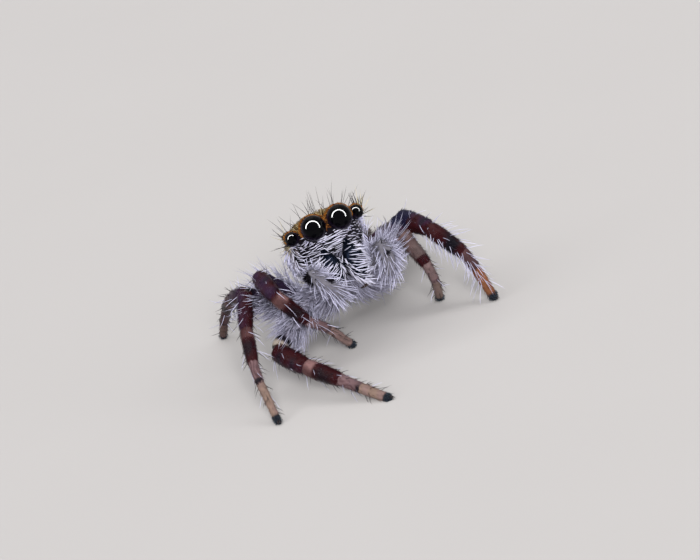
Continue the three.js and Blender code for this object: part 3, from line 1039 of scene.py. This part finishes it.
def belly_coat(skin, look):
    """Soft pale hair under the body and over the hips and thighs."""
    coat = Coat(skin, seed=14)
    under = skin.on("belly", "hip", "waist") * 210.0
    bare_from = np.where(skin.leg == "right_2", 0.64, 0.8)
    knee = (skin.t + 0.16 * skin.top > bare_from) | (skin.leg == "right_1") & (skin.t > 0.75)
    thigh = skin.on("femur") * ~knee * 230.0
    roots = coat.spread((under + thigh) * look.fullness)
    hanging = ramp(-skin.top[roots.at], -0.3, 0.6) * skin.on("femur")[roots.at]
    front = skin.on("femur")[roots.at] * (skin.leg[roots.at] == "right_1")
    rear = np.isin(skin.leg[roots.at], ("right_2", "right_3"))
    below = skin.on("belly", "hip")[roots.at] * ramp(-roots.normals[:, 2], 0.0, 0.6)
    long = np.maximum(np.maximum((0.6 + 0.6 * rear) * hanging, 0.5 * front), 0.5 * below)
    coat.grow(roots, length=roots.vary(0.28, 0.55) * (1 + long), width=0.03,
              lift=roots.vary(16, 46) + 18 * np.maximum(hanging, below), curl=0.6, sway=0.25,
              tone=mixed(look.white, SMOKE, roots.vary(0.1, 0.8)), deep=0.45)
    return coat


def hind_coat(skin, look):
    """Short hair lying back over the hind body, in the colours of its markings."""
    coat = Coat(skin, seed=15)
    on = skin.on("hind", "spinneret")
    roots = coat.spread(on * look.fullness * 420.0)
    tone = np.clip(skin.tone[roots.at] * 1.5 + 0.02, 0, 0.85)
    coat.grow(roots, length=roots.vary(0.14, 0.26), width=0.026, lift=roots.vary(8, 22), curl=0.7,
              sway=0.28, tone=tone)
    roots = coat.spread(on * 16.0)
    coat.grow(roots, length=roots.vary(0.3, 0.5), width=0.018, lift=roots.vary(35, 60), curl=0.4,
              sway=0.3, tone=mixed(look.soot, look.white, roots.vary(0, 1) > 0.5))
    return coat


def leg_coat(skin, look, side):
    """Down, white fringes and dark bristles of the legs on one side."""
    coat = Coat(skin, seed=16 + side)
    mine = skin.side == side
    lower = mine & skin.on("patella", "tibia", "metatarsus", "tarsus")
    front_left = skin.leg == "left_1"
    tip = skin.on("tarsus") & (skin.t > 0.8)

    roots = coat.spread((lower & ~tip) * look.fullness * 150.0)
    coat.grow(roots, length=roots.vary(0.1, 0.18), width=0.014, lift=roots.vary(12, 34), curl=0.6,
              sway=0.3, tone=mixed(skin.tone[roots.at] * 1.1, look.white, roots.vary(0, 1) ** 4 * 0.12))

    fringe = lower & ~tip & (~skin.on("tarsus") | (skin.t < 0.5))
    edge = ramp(-skin.top, -0.2, 0.5) + 0.4 * (skin.top > 0.8)
    roots = coat.spread(fringe * (4.5 + 60.0 * edge * front_left * ~skin.on("patella")))
    coat.grow(roots, length=roots.vary(0.3, 0.68), width=0.023, lift=roots.vary(25, 66), curl=0.35,
              sway=0.35, tone=look.white, rings=4)

    under = ramp(-skin.top, -0.6, 0.6)
    roots = coat.spread((lower & ~tip) * (7.0 + 16.0 * under) * ~front_left)
    coat.grow(roots, length=roots.vary(0.2, 0.4), width=0.02, lift=roots.vary(38, 66), curl=0.45,
              sway=0.25, tone=look.soot)

    roots = coat.spread((mine & tip) * 900.0)
    coat.grow(roots, length=roots.vary(0.06, 0.11), width=0.014, lift=roots.vary(25, 60), curl=0.3,
              sway=0.4, tone=mixed(SOLE, SLATE, roots.vary(0, 0.6)))
    return coat


def bristle_coat(skin, look):
    """Long thin dark bristles that stand up over the head, with pale and dark ones beside each side eye and a
    thick tuft beside the left one.
    """
    coat = Coat(skin, seed=19)
    x, y, z = skin.head.T
    gap = eye_gap(skin)[0]
    over = skin.on("shell") & (z > 0.0) & (y < 2.3) & (gap > 1.2)
    roots = coat.spread(over * (7.0 + 13.0 * (y < 0.7)))
    roots.lie = unit(roots.lie * 0.3 + HEAD_AXES[:, 1] * -0.8)
    coat.grow(roots, length=roots.vary(0.45, 0.85), width=0.016, lift=roots.vary(55, 85), curl=0.2,
              sway=0.4, tone=look.soot, rings=4)
    beside = (skin.on("shell") & (gap > 1.05) & (np.abs(x) > 0.95)
              & (np.abs(y - 0.8) < 0.25) & (np.abs(z + 0.05) < 0.2))
    roots = coat.spread(beside * 80.0)
    roots.lie = np.tile(HEAD_AXES[:, 2], (roots.count, 1))
    coat.grow(roots, length=roots.vary(0.36, 0.6), width=0.02, lift=roots.vary(35, 70), curl=0.1,
              sway=0.4, tone=mixed(look.soot, look.cream, roots.vary(0, 1) > 0.55))
    tuft = skin.on("shell") & (np.hypot(x - 1.12, y - 0.78) < 0.12) & (np.abs(z - 0.02) < 0.1)
    roots = coat.spread(tuft * 260.0)
    roots.lie = np.tile(HEAD_AXES[:, 2], (roots.count, 1))
    coat.grow(roots, length=roots.vary(0.38, 0.5), width=0.034, lift=roots.vary(28, 38), curl=0.1,
              sway=0.1, tone=look.soot)
    return coat


# ---- Eyes, fangs and claws -----------------------------------------------------------------------
def eye_dome(name, side, look):
    """A smooth glossy dome, black in the middle, with a dark violet sheen painted on its rim."""
    x, y, z, radius, out, up = EYES[name]
    out, up = math.radians(out), math.radians(up)
    ahead = Vector((side * math.sin(out) * math.cos(up), -math.cos(out) * math.cos(up), math.sin(up)))
    way = HEAD.to_3x3() @ ahead
    bm = bmesh.new()
    ball = bmesh.ops.create_uvsphere(bm, u_segments=56, v_segments=36, radius=radius)
    for v in ball["verts"]:
        v.co.z *= 1.02
    turn = way.to_track_quat("Z", "Y").to_matrix().to_4x4()
    place = Matrix.Translation(HEAD @ Vector((side * x, y, z))) @ turn
    bmesh.ops.transform(bm, matrix=Matrix.Scale(MM, 4) @ place, verts=bm.verts)
    mesh = mesh_from(bm, name)
    centre = place.translation * MM
    lean = np.array([(v.co - centre).normalized().dot(way) for v in mesh.vertices])
    # Painted sheen: the dome turns dark violet towards its rim, away from the eye's axis.
    tone = mixed(look.middle, look.rim, 1 - ramp(lean, 0.25, 0.62))
    paint(mesh, "tone", tone)
    return mesh


def fang(side):
    """A short curved fang, folded in under its jaw."""
    line = [Vector((side * out, back, up)) for out, back, up in FANG_LINE]
    return horn(line, FANG_RADII, HEAD, sides=14)


def horn(line, radii, place, sides):
    """A closed tapering horn along a line. The line is in millimetres and the horn in metres."""
    bm = bmesh.new()
    ring = bmesh.ops.create_circle(bm, cap_ends=True, segments=sides, radius=1)["verts"]
    last_turn, last_radius = Matrix.Identity(3), 1
    for i, point in enumerate(line):
        ahead = (line[min(i + 1, len(line) - 1)] - line[max(i - 1, 0)]).normalized()
        if i:
            edges = [e for e in bm.edges if all(v in ring for v in e.verts)]
            grown = bmesh.ops.extrude_edge_only(bm, edges=edges)["geom"]
            ring = [v for v in grown if isinstance(v, bmesh.types.BMVert)]
        turn = ahead.to_track_quat("Z", "Y").to_matrix()
        centre = sum((v.co for v in ring), Vector()) / len(ring)
        for v in ring:
            v.co = turn @ (last_turn.transposed() @ (v.co - centre)) * (radii[i] / last_radius) + point
        last_turn, last_radius = turn, radii[i]
    bmesh.ops.contextual_create(bm, geom=[e for e in bm.edges if all(v in ring for v in e.verts)])
    bmesh.ops.recalc_face_normals(bm, faces=bm.faces)
    bmesh.ops.transform(bm, matrix=Matrix.Scale(MM, 4) @ place, verts=bm.verts)
    return mesh_from(bm, "horn")


def claws():
    """Two small curved claws at the end of each foot, as one mesh."""
    bm = bmesh.new()
    for leg in LEGS:
        joints = leg_joints(leg)
        ahead = (joints[5] - joints[4]).normalized()
        flat = Vector((ahead.x, ahead.y, 0)).normalized()
        aside = flat.cross(UP)
        start = joints[5] - ahead * 0.05 + UP * 0.06
        for spread in (-0.035, 0.035):
            line = [start + aside * spread * (0.6 + 0.4 * s) + flat * 0.15 * s + UP * (0.035 - 0.085 * s * s)
                    for s in (0, 0.35, 0.7, 1)]
            one = horn(line, CLAW_RADII, Matrix.Identity(4), sides=8)
            bm.from_mesh(one)
            bpy.data.meshes.remove(one)
    for v in bm.verts:
        v.co.z = max(v.co.z, 0.0)
    return mesh_from(bm, "claws")


# ---- Materials -----------------------------------------------------------------------------------
def new_material(name):
    """A new material with its node tree and its main shader."""
    material = bpy.data.materials.new(name)
    material.use_nodes = True
    tree = material.node_tree
    return material, tree, tree.nodes["Principled BSDF"]


def feed(tree, socket, value):
    """Gives a socket its value: another node's output, or a plain one."""
    if isinstance(value, bpy.types.NodeSocket):
        tree.links.new(value, socket)
    else:
        socket.default_value = value


def maths(tree, operation, *values):
    """What a maths node makes of its values."""
    node = tree.nodes.new("ShaderNodeMath")
    node.operation = operation
    for socket, value in zip(node.inputs, values):
        feed(tree, socket, value)
    return node.outputs[0]


def grain_group():
    """A fine pitted grain: a height for bump and a factor near 1 that colours are scaled by."""
    group = bpy.data.node_groups.get("Fine grain")
    if group:
        return group
    group = bpy.data.node_groups.new("Fine grain", "ShaderNodeTree")
    for name, usual in (("Size", 9000), ("Mottle", 0.2)):
        socket = group.interface.new_socket(name, in_out="INPUT", socket_type="NodeSocketFloat")
        socket.default_value = usual
    for name in ("Height", "Factor"):
        group.interface.new_socket(name, in_out="OUTPUT", socket_type="NodeSocketFloat")
    nodes = group.nodes
    entry, leave = nodes.new("NodeGroupInput"), nodes.new("NodeGroupOutput")
    size, mottle = entry.outputs["Size"], entry.outputs["Mottle"]
    where = nodes.new("ShaderNodeTexCoord").outputs["Object"]
    pits, clouds = nodes.new("ShaderNodeTexNoise"), nodes.new("ShaderNodeTexNoise")
    pits.inputs["Detail"].default_value = 4
    for noise, scale in ((pits, size), (clouds, maths(group, "MULTIPLY", size, 0.22))):
        feed(group, noise.inputs["Vector"], where)
        feed(group, noise.inputs["Scale"], scale)
    low = maths(group, "MULTIPLY_ADD", mottle, -0.5, 1)
    factor = maths(group, "MULTIPLY_ADD", clouds.outputs["Fac"], mottle, low)
    feed(group, leave.inputs["Height"], pits.outputs["Fac"])
    feed(group, leave.inputs["Factor"], factor)
    return group


def add_grain(tree, size, mottle):
    """The grain, placed in a material: its height and its factor."""
    grain = tree.nodes.new("ShaderNodeGroup")
    grain.node_tree = grain_group()
    grain.inputs["Size"].default_value = size
    grain.inputs["Mottle"].default_value = mottle
    return grain.outputs["Height"], grain.outputs["Factor"]


def scaled(tree, colour, factor):
    """A colour made lighter or darker by a factor."""
    node = tree.nodes.new("ShaderNodeVectorMath")
    node.operation = "SCALE"
    feed(tree, node.inputs[0], colour)
    feed(tree, node.inputs["Scale"], factor)
    return node.outputs[0]


def toned_material(name, size, mottle, bump):
    """Colour from the piece's own attribute, with grain in its tone and in its bump."""
    material, tree, shader = new_material(name)
    tone = tree.nodes.new("ShaderNodeAttribute")
    tone.attribute_name = "tone"
    height, factor = add_grain(tree, size, mottle)
    feed(tree, shader.inputs["Base Color"], scaled(tree, tone.outputs["Color"], factor))
    relief = tree.nodes.new("ShaderNodeBump")
    relief.inputs["Strength"].default_value = bump
    relief.inputs["Distance"].default_value = 0.00002
    feed(tree, relief.inputs["Height"], height)
    feed(tree, shader.inputs["Normal"], relief.outputs["Normal"])
    return material, tree, shader


def skin_material():
    """The skin: its own tone, roughness and metal, with a fine grain."""
    material, tree, shader = toned_material("spider_skin", size=14000, mottle=0.5, bump=0.5)
    finish = tree.nodes.new("ShaderNodeAttribute")
    finish.attribute_name = "finish"
    shares = tree.nodes.new("ShaderNodeSeparateColor")
    feed(tree, shares.inputs[0], finish.outputs["Color"])
    feed(tree, shader.inputs["Roughness"], shares.outputs["Red"])
    feed(tree, shader.inputs["Metallic"], shares.outputs["Green"])
    shader.inputs["Specular IOR Level"].default_value = 0.07
    return material


def hair_material(name, roughness):
    """Hair in its own tone."""
    material, _, shader = toned_material(name, size=30000, mottle=0.25, bump=0.1)
    shader.inputs["Roughness"].default_value = roughness
    shader.inputs["Specular IOR Level"].default_value = 0.1
    return material


def eye_material():
    """The eyes' smooth black gloss."""
    material, _, shader = toned_material("eye_black", size=20000, mottle=0.1, bump=0.0)
    shader.inputs["Roughness"].default_value = 0.03
    shader.inputs["Specular IOR Level"].default_value = 0.07
    return material


def horn_material():
    """The dark brown gloss of fangs and claws."""
    material, tree, shader = new_material("claw_horn")
    height, _ = add_grain(tree, size=12000, mottle=0.2)
    hue = tree.nodes.new("ShaderNodeMix")
    hue.data_type = "RGBA"
    for socket, colour in zip(("A", "B"), HORN):
        hue.inputs[socket].default_value = (*colour, 1)
    feed(tree, hue.inputs["Factor"], height)
    feed(tree, shader.inputs["Base Color"], hue.outputs["Result"])
    shader.inputs["Roughness"].default_value = 0.22
    return material


def floor_material(colour):
    """A plain matt floor."""
    material, tree, shader = new_material("pale_floor")
    _, factor = add_grain(tree, size=500, mottle=0.03)
    feed(tree, shader.inputs["Base Color"], scaled(tree, colour, factor))
    shader.inputs["Roughness"].default_value = 0.85
    shader.inputs["Specular IOR Level"].default_value = 0.1
    return material


# ---- Stage ---------------------------------------------------------------------------------------
def camera_axes(stage):
    """The way the camera looks, with its right and its up as its roll turns them."""
    a, e, roll = stage.azimuth, stage.elevation, stage.roll
    ahead = Vector((-math.cos(e) * math.sin(a), math.cos(e) * math.cos(a), -math.sin(e)))
    level = Vector((math.cos(a), math.sin(a), 0))
    above = level.cross(ahead)
    right = level * math.cos(roll) - above * math.sin(roll)
    up = level * math.sin(roll) + above * math.cos(roll)
    return ahead, right, up


def make_camera(stage):
    """The camera, aimed from the face by the stage's sizes."""
    ahead, right, up = camera_axes(stage)
    camera = add_object("camera", bpy.data.cameras.new("camera"))
    camera.data.sensor_width = SENSOR
    camera.data.lens = SENSOR * stage.distance / stage.field
    camera.data.clip_start, camera.data.clip_end = 0.001, 10
    at = HEAD.translation * MM - ahead * stage.distance - right * stage.aim_right - up * stage.aim_up
    camera.matrix_world = Matrix.Translation(at) @ Matrix((right, up, -ahead)).transposed().to_4x4()
    bpy.context.scene.camera = camera


def area_lamp(name, at, long, wide, radiance, way=Vector((1, 0, 0))):
    """A lamp that looks at the spider, with a given brightness of its face. It is long along way."""
    lamp = add_object(name, bpy.data.lights.new(name, "AREA"))
    lamp.data.shape, lamp.data.size, lamp.data.size_y = "RECTANGLE", long, wide
    lamp.data.energy = radiance * math.pi * long * wide
    back = at.normalized()
    x = (way - back * way.dot(back)).normalized()
    lamp.matrix_world = Matrix.Translation(at) @ Matrix((x, back.cross(x), back)).transposed().to_4x4()
    lamp.visible_camera = False
    return lamp


def make_lights(stage):
    """A long soft lamp bent into an arch round the view, with a brighter one that shows only as a
    line of light in the eyes, a soft lamp in front and a wide one behind and above."""
    ahead, right, up = camera_axes(stage)
    eyes = bpy.data.collections.new("eyes")
    for piece in bpy.context.scene.objects:
        if piece.name.startswith("dome_"):
            eyes.objects.link(piece)
    far = stage.lamp_distance
    near = far * 0.97  # so that neither of two lamps in one place hides the other
    gap = (stage.arch_to - stage.arch_from) / (ARCH_LAMPS - 1)
    size = far * math.sin(stage.arch_angle) * gap
    for i in range(ARCH_LAMPS):
        turn = stage.arch_from + gap * i
        way = (-ahead * math.cos(stage.arch_angle) - right * stage.arch_aside
               + (up * math.cos(turn) + right * math.sin(turn)) * math.sin(stage.arch_angle)).normalized()
        tangent = right * math.cos(turn) - up * math.sin(turn)
        area_lamp(f"arch_{i}", way * far, size, size, stage.arch_light, tangent)
        line = area_lamp(f"eye_arch_{i}", way * near, size, size * stage.line_width, stage.eye_light, tangent)
        line.light_linking.receiver_collection = eyes
        line.visible_diffuse = False
    aside = (ahead * 0.4 + right - up * 0.15).normalized()
    glow = area_lamp("eye_glow", aside * far, long=0.7, wide=2.2, radiance=stage.glow_light)
    glow.data.color = (0.55, 0.65, 1.0)
    glow.light_linking.receiver_collection = eyes
    glow.visible_diffuse = False
    facing = (up * 0.15 - ahead).normalized()
    front = area_lamp("front", facing * far, long=1.2, wide=1.2, radiance=stage.front_light)
    front.visible_glossy = False
    area_lamp("behind", Vector((0.6, 1.6, 2.2)), long=1.6, wide=1.6, radiance=stage.back_light)


def make_world(stage):
    """Soft light from all round, which is seen itself as a plain background."""
    world = bpy.data.worlds.new("soft_room")
    world.use_nodes = True
    tree = world.node_tree
    nodes = tree.nodes
    nodes.clear()
    room, seen = nodes.new("ShaderNodeBackground"), nodes.new("ShaderNodeBackground")
    room.inputs["Color"].default_value = (0.93, 0.95, 1, 1)
    room.inputs["Strength"].default_value = stage.room_light
    seen.inputs["Color"].default_value = (*stage.floor, 1)
    path, pick = nodes.new("ShaderNodeLightPath").outputs, nodes.new("ShaderNodeMixShader")
    direct = maths(tree, "MAXIMUM", path["Is Camera Ray"], path["Is Glossy Ray"])
    feed(tree, pick.inputs["Fac"], maths(tree, "MAXIMUM", direct, path["Is Transmission Ray"]))
    feed(tree, pick.inputs[1], room.outputs[0])
    feed(tree, pick.inputs[2], seen.outputs[0])
    feed(tree, nodes.new("ShaderNodeOutputWorld").inputs["Surface"], pick.outputs[0])
    bpy.context.scene.world = world


def make_floor(stage):
    """A wide round floor under the spider's feet."""
    bm = bmesh.new()
    bmesh.ops.create_circle(bm, cap_ends=True, segments=96, radius=2.5)
    mesh = mesh_from(bm, "floor")
    mesh.materials.append(floor_material(stage.floor))
    add_object("floor", mesh)


# ---- Settings ------------------------------------------------------------------------------------
class SpiderSkinSettings(bpy.types.PropertyGroup):
    """Sizes of the skin."""

    coat_depth: FloatProperty(name="Coat depth",
                              description="How far the body's skin lies inside its solids",
                              default=0.00007, min=0, precision=6, subtype="DISTANCE")
    step: FloatProperty(name="Mesh step", description="Size of the skin's small faces",
                        default=0.000041, min=0.00002, precision=6, subtype="DISTANCE")


class SpiderCoatSettings(bpy.types.PropertyGroup):
    """Thickness and colours of the coat."""

    fullness: FloatProperty(name="Fullness", description="How many hairs there are, against the usual",
                            default=1.0, min=0.05, max=2, subtype="FACTOR")
    white: FloatVectorProperty(name="White", description="Hair of the face and feelers",
                               default=(0.77, 0.755, 0.98), subtype="COLOR", min=0, max=1)
    cream: FloatVectorProperty(name="Cream", description="Palest hair over the eyes",
                               default=(0.74, 0.64, 0.40), subtype="COLOR", min=0, max=1)
    gold: FloatVectorProperty(name="Gold", description="Hair on top of the head",
                              default=(0.42, 0.26, 0.08), subtype="COLOR", min=0, max=1)
    orange: FloatVectorProperty(name="Orange", description="Rings round the front eyes",
                                default=(0.36, 0.11, 0.009), subtype="COLOR", min=0, max=1)
    soot: FloatVectorProperty(name="Soot", description="Dark bristles",
                              default=(0.022, 0.016, 0.020), subtype="COLOR", min=0, max=1)


class SpiderEyeSettings(bpy.types.PropertyGroup):
    """Colours of the eyes."""

    middle: FloatVectorProperty(name="Middle", description="The eye's middle", default=(0.001, 0.001, 0.0015),
                                subtype="COLOR", min=0, max=1)
    # The rim colour is a painted dark violet sheen.
    rim: FloatVectorProperty(name="Rim", description="The eye's rim", default=(0.010, 0.006, 0.015),
                             subtype="COLOR", min=0, max=1)


class SpiderStageSettings(bpy.types.PropertyGroup):
    """The camera, the lamps and the floor."""

    azimuth: FloatProperty(name="Azimuth", description="The camera's turn round the spider",
                           default=math.radians(-19.4), subtype="ANGLE")
    elevation: FloatProperty(name="Elevation", description="The camera's height above the floor, as an angle",
                             default=math.radians(24.5), subtype="ANGLE")
    roll: FloatProperty(name="Roll", description="The camera's roll",
                        default=math.radians(19.5), subtype="ANGLE")
    distance: FloatProperty(name="Distance", description="From the camera to the face", default=0.075,
                            subtype="DISTANCE")
    field: FloatProperty(name="Field", description="Width of the view at the face", default=0.01944,
                         subtype="DISTANCE", precision=5)
    aim_right: FloatProperty(name="Aim right", description="How far right of the view's middle the face is",
                             default=-0.000658, subtype="DISTANCE", precision=6)
    aim_up: FloatProperty(name="Aim up", description="How far above the view's middle the face is",
                          default=0.001597, subtype="DISTANCE", precision=6)
    floor: FloatVectorProperty(name="Floor", description="Colour of the floor", default=(0.50, 0.48, 0.47),
                               subtype="COLOR", min=0, max=1)
    lamp_distance: FloatProperty(name="Lamp distance", description="From the arch of lamps to the spider",
                                 default=3.0, subtype="DISTANCE")
    arch_angle: FloatProperty(name="Arch angle", description="How far the arch is from the camera's axis",
                              default=math.radians(66), subtype="ANGLE")
    arch_from: FloatProperty(name="Arch from", description="Where the arch begins, left of the top",
                             default=math.radians(-87), subtype="ANGLE")
    arch_to: FloatProperty(name="Arch to", description="Where the arch ends, right of the top",
                           default=math.radians(100), subtype="ANGLE")
    arch_aside: FloatProperty(name="Arch aside", description="How far the arch's middle is left of the axis",
                              default=0.2)
    arch_light: FloatProperty(name="Arch light", description="Brightness of the arch's face", default=3.2)
    eye_light: FloatProperty(name="Eye light", description="Brightness of the line of light in the eyes",
                             default=250.0)
    line_width: FloatProperty(name="Line width", description="Width of the line of light, against the arch's",
                              default=0.65)
    glow_light: FloatProperty(name="Glow light", description="Brightness of the soft glow on the eyes' sides",
                              default=4.0)
    front_light: FloatProperty(name="Front light", description="Brightness of the lamp in front",
                               default=22.0)
    back_light: FloatProperty(name="Back light", description="Brightness of the lamp behind", default=0.6)
    room_light: FloatProperty(name="Room light", description="Brightness of the room", default=0.25)


# ---- Operators -----------------------------------------------------------------------------------
class SPIDER_OT_skin(bpy.types.Operator):
    """Fuse one skin over the whole soft body and mark it"""

    bl_idname = "spider.skin"
    bl_label = "Skin"

    def execute(self, context):
        settings = context.scene.spider_skin
        flesh = build_flesh(settings.coat_depth / MM)
        mesh = fuse(flesh, settings.step / MM)
        skin = Skin(mesh, flesh)
        mark(skin)
        skin.lie = lie_of_coat(skin)
        mesh.transform(Matrix.Scale(MM, 4))
        mesh.name = "skin"
        mesh.shade_smooth()
        paint(mesh, "tone", skin.tone)
        metal = 0.65 * skin.on("jaw")
        paint(mesh, "finish", np.stack([skin.rough, metal, np.zeros_like(metal)], axis=1))
        soft = [n for n in frame["nodes"] if not n.startswith(("eye_", "fang_"))]
        mesh.materials.clear()
        finish_piece("skin", mesh, skin_material(), soft)
        made["skin"] = skin
        return {"FINISHED"}


class SPIDER_OT_eyes(bpy.types.Operator):
    """Make the eight eyes as smooth glossy domes"""

    bl_idname = "spider.eyes"
    bl_label = "Eyes"

    def execute(self, context):
        black = eye_material()
        for name in EYES:
            for word, side in SIDES:
                node = f"{name}_{word}"
                dome = eye_dome(name, side, context.scene.spider_eyes)
                finish_piece(f"dome_{node}", dome, black, [node])
        return {"FINISHED"}


class SPIDER_OT_horns(bpy.types.Operator):
    """Make the fangs and the claws"""

    bl_idname = "spider.horns"
    bl_label = "Fangs and claws"

    def execute(self, context):
        brown = horn_material()
        for word, side in SIDES:
            finish_piece(f"curved_fang_{word}", fang(side), brown, [f"fang_{word}"])
        finish_piece("claws", claws(), brown)
        return {"FINISHED"}


COATS = {
    "coat_face": (face_coat, "pale_hair", 0.4),
    "coat_feelers": (feeler_coat, "pale_hair", 0.4),
    "coat_shell": (shell_coat, "carapace", 0.42),
    "coat_belly": (belly_coat, "underside", 0.45),
    "coat_hind": (hind_coat, "abdomen", 0.45),
    "coat_legs_right": (lambda skin, look: leg_coat(skin, look, -1), "leg_dark", 0.38),
    "coat_legs_left": (lambda skin, look: leg_coat(skin, look, 1), "leg_dark", 0.38),
    "bristles": (bristle_coat, "carapace", 0.3),
}


class SPIDER_OT_coat(bpy.types.Operator):
    """Grow the coat of hair over the skin, piece by piece"""

    bl_idname = "spider.coat"
    bl_label = "Coat"

    def execute(self, context):
        for name, (grow, slot, roughness) in COATS.items():
            coat = grow(made["skin"], Look(context.scene.spider_coat))
            finish_piece(name, coat.mesh(name), hair_material(f"{name}_hair", roughness))
        return {"FINISHED"}


class SPIDER_OT_stage(bpy.types.Operator):
    """Set the floor, the lamps, the room's light and the camera"""

    bl_idname = "spider.stage"
    bl_label = "Stage"

    def execute(self, context):
        stage = context.scene.spider_stage
        make_floor(stage)
        make_lights(stage)
        make_world(stage)
        make_camera(stage)
        context.scene.view_settings.view_transform = "Standard"
        return {"FINISHED"}


class SPIDER_PT_panel(bpy.types.Panel):
    """The spider's steps and settings"""

    bl_idname = "SPIDER_PT_panel"
    bl_label = "Jumping spider"
    bl_space_type = "VIEW_3D"
    bl_region_type = "UI"
    bl_category = "Spider"

    def draw(self, context):
        for step, settings in STEPS:
            self.layout.operator(step.bl_idname)
            if settings:
                group = getattr(context.scene, settings)
                for name in group.__annotations__:
                    self.layout.prop(group, name)


SETTINGS = {"spider_skin": SpiderSkinSettings, "spider_coat": SpiderCoatSettings,
            "spider_eyes": SpiderEyeSettings, "spider_stage": SpiderStageSettings}
STEPS = ((SPIDER_OT_skin, "spider_skin"), (SPIDER_OT_eyes, "spider_eyes"), (SPIDER_OT_horns, None),
         (SPIDER_OT_coat, "spider_coat"), (SPIDER_OT_stage, "spider_stage"))


def register():
    for group in SETTINGS.values():
        bpy.utils.register_class(group)
    for name, group in SETTINGS.items():
        setattr(bpy.types.Scene, name, PointerProperty(type=group))
    for step, _ in STEPS:
        bpy.utils.register_class(step)
    bpy.utils.register_class(SPIDER_PT_panel)


def unregister():
    bpy.utils.unregister_class(SPIDER_PT_panel)
    for step, _ in reversed(STEPS):
        bpy.utils.unregister_class(step)
    for name, group in SETTINGS.items():
        delattr(bpy.types.Scene, name)
        bpy.utils.unregister_class(group)


def main():
    register()
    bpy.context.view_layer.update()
    bpy.ops.spider.skin()
    bpy.ops.spider.eyes()
    bpy.ops.spider.horns()
    bpy.ops.spider.coat()
    bpy.ops.spider.stage()


if __name__ == "__main__":
    main()
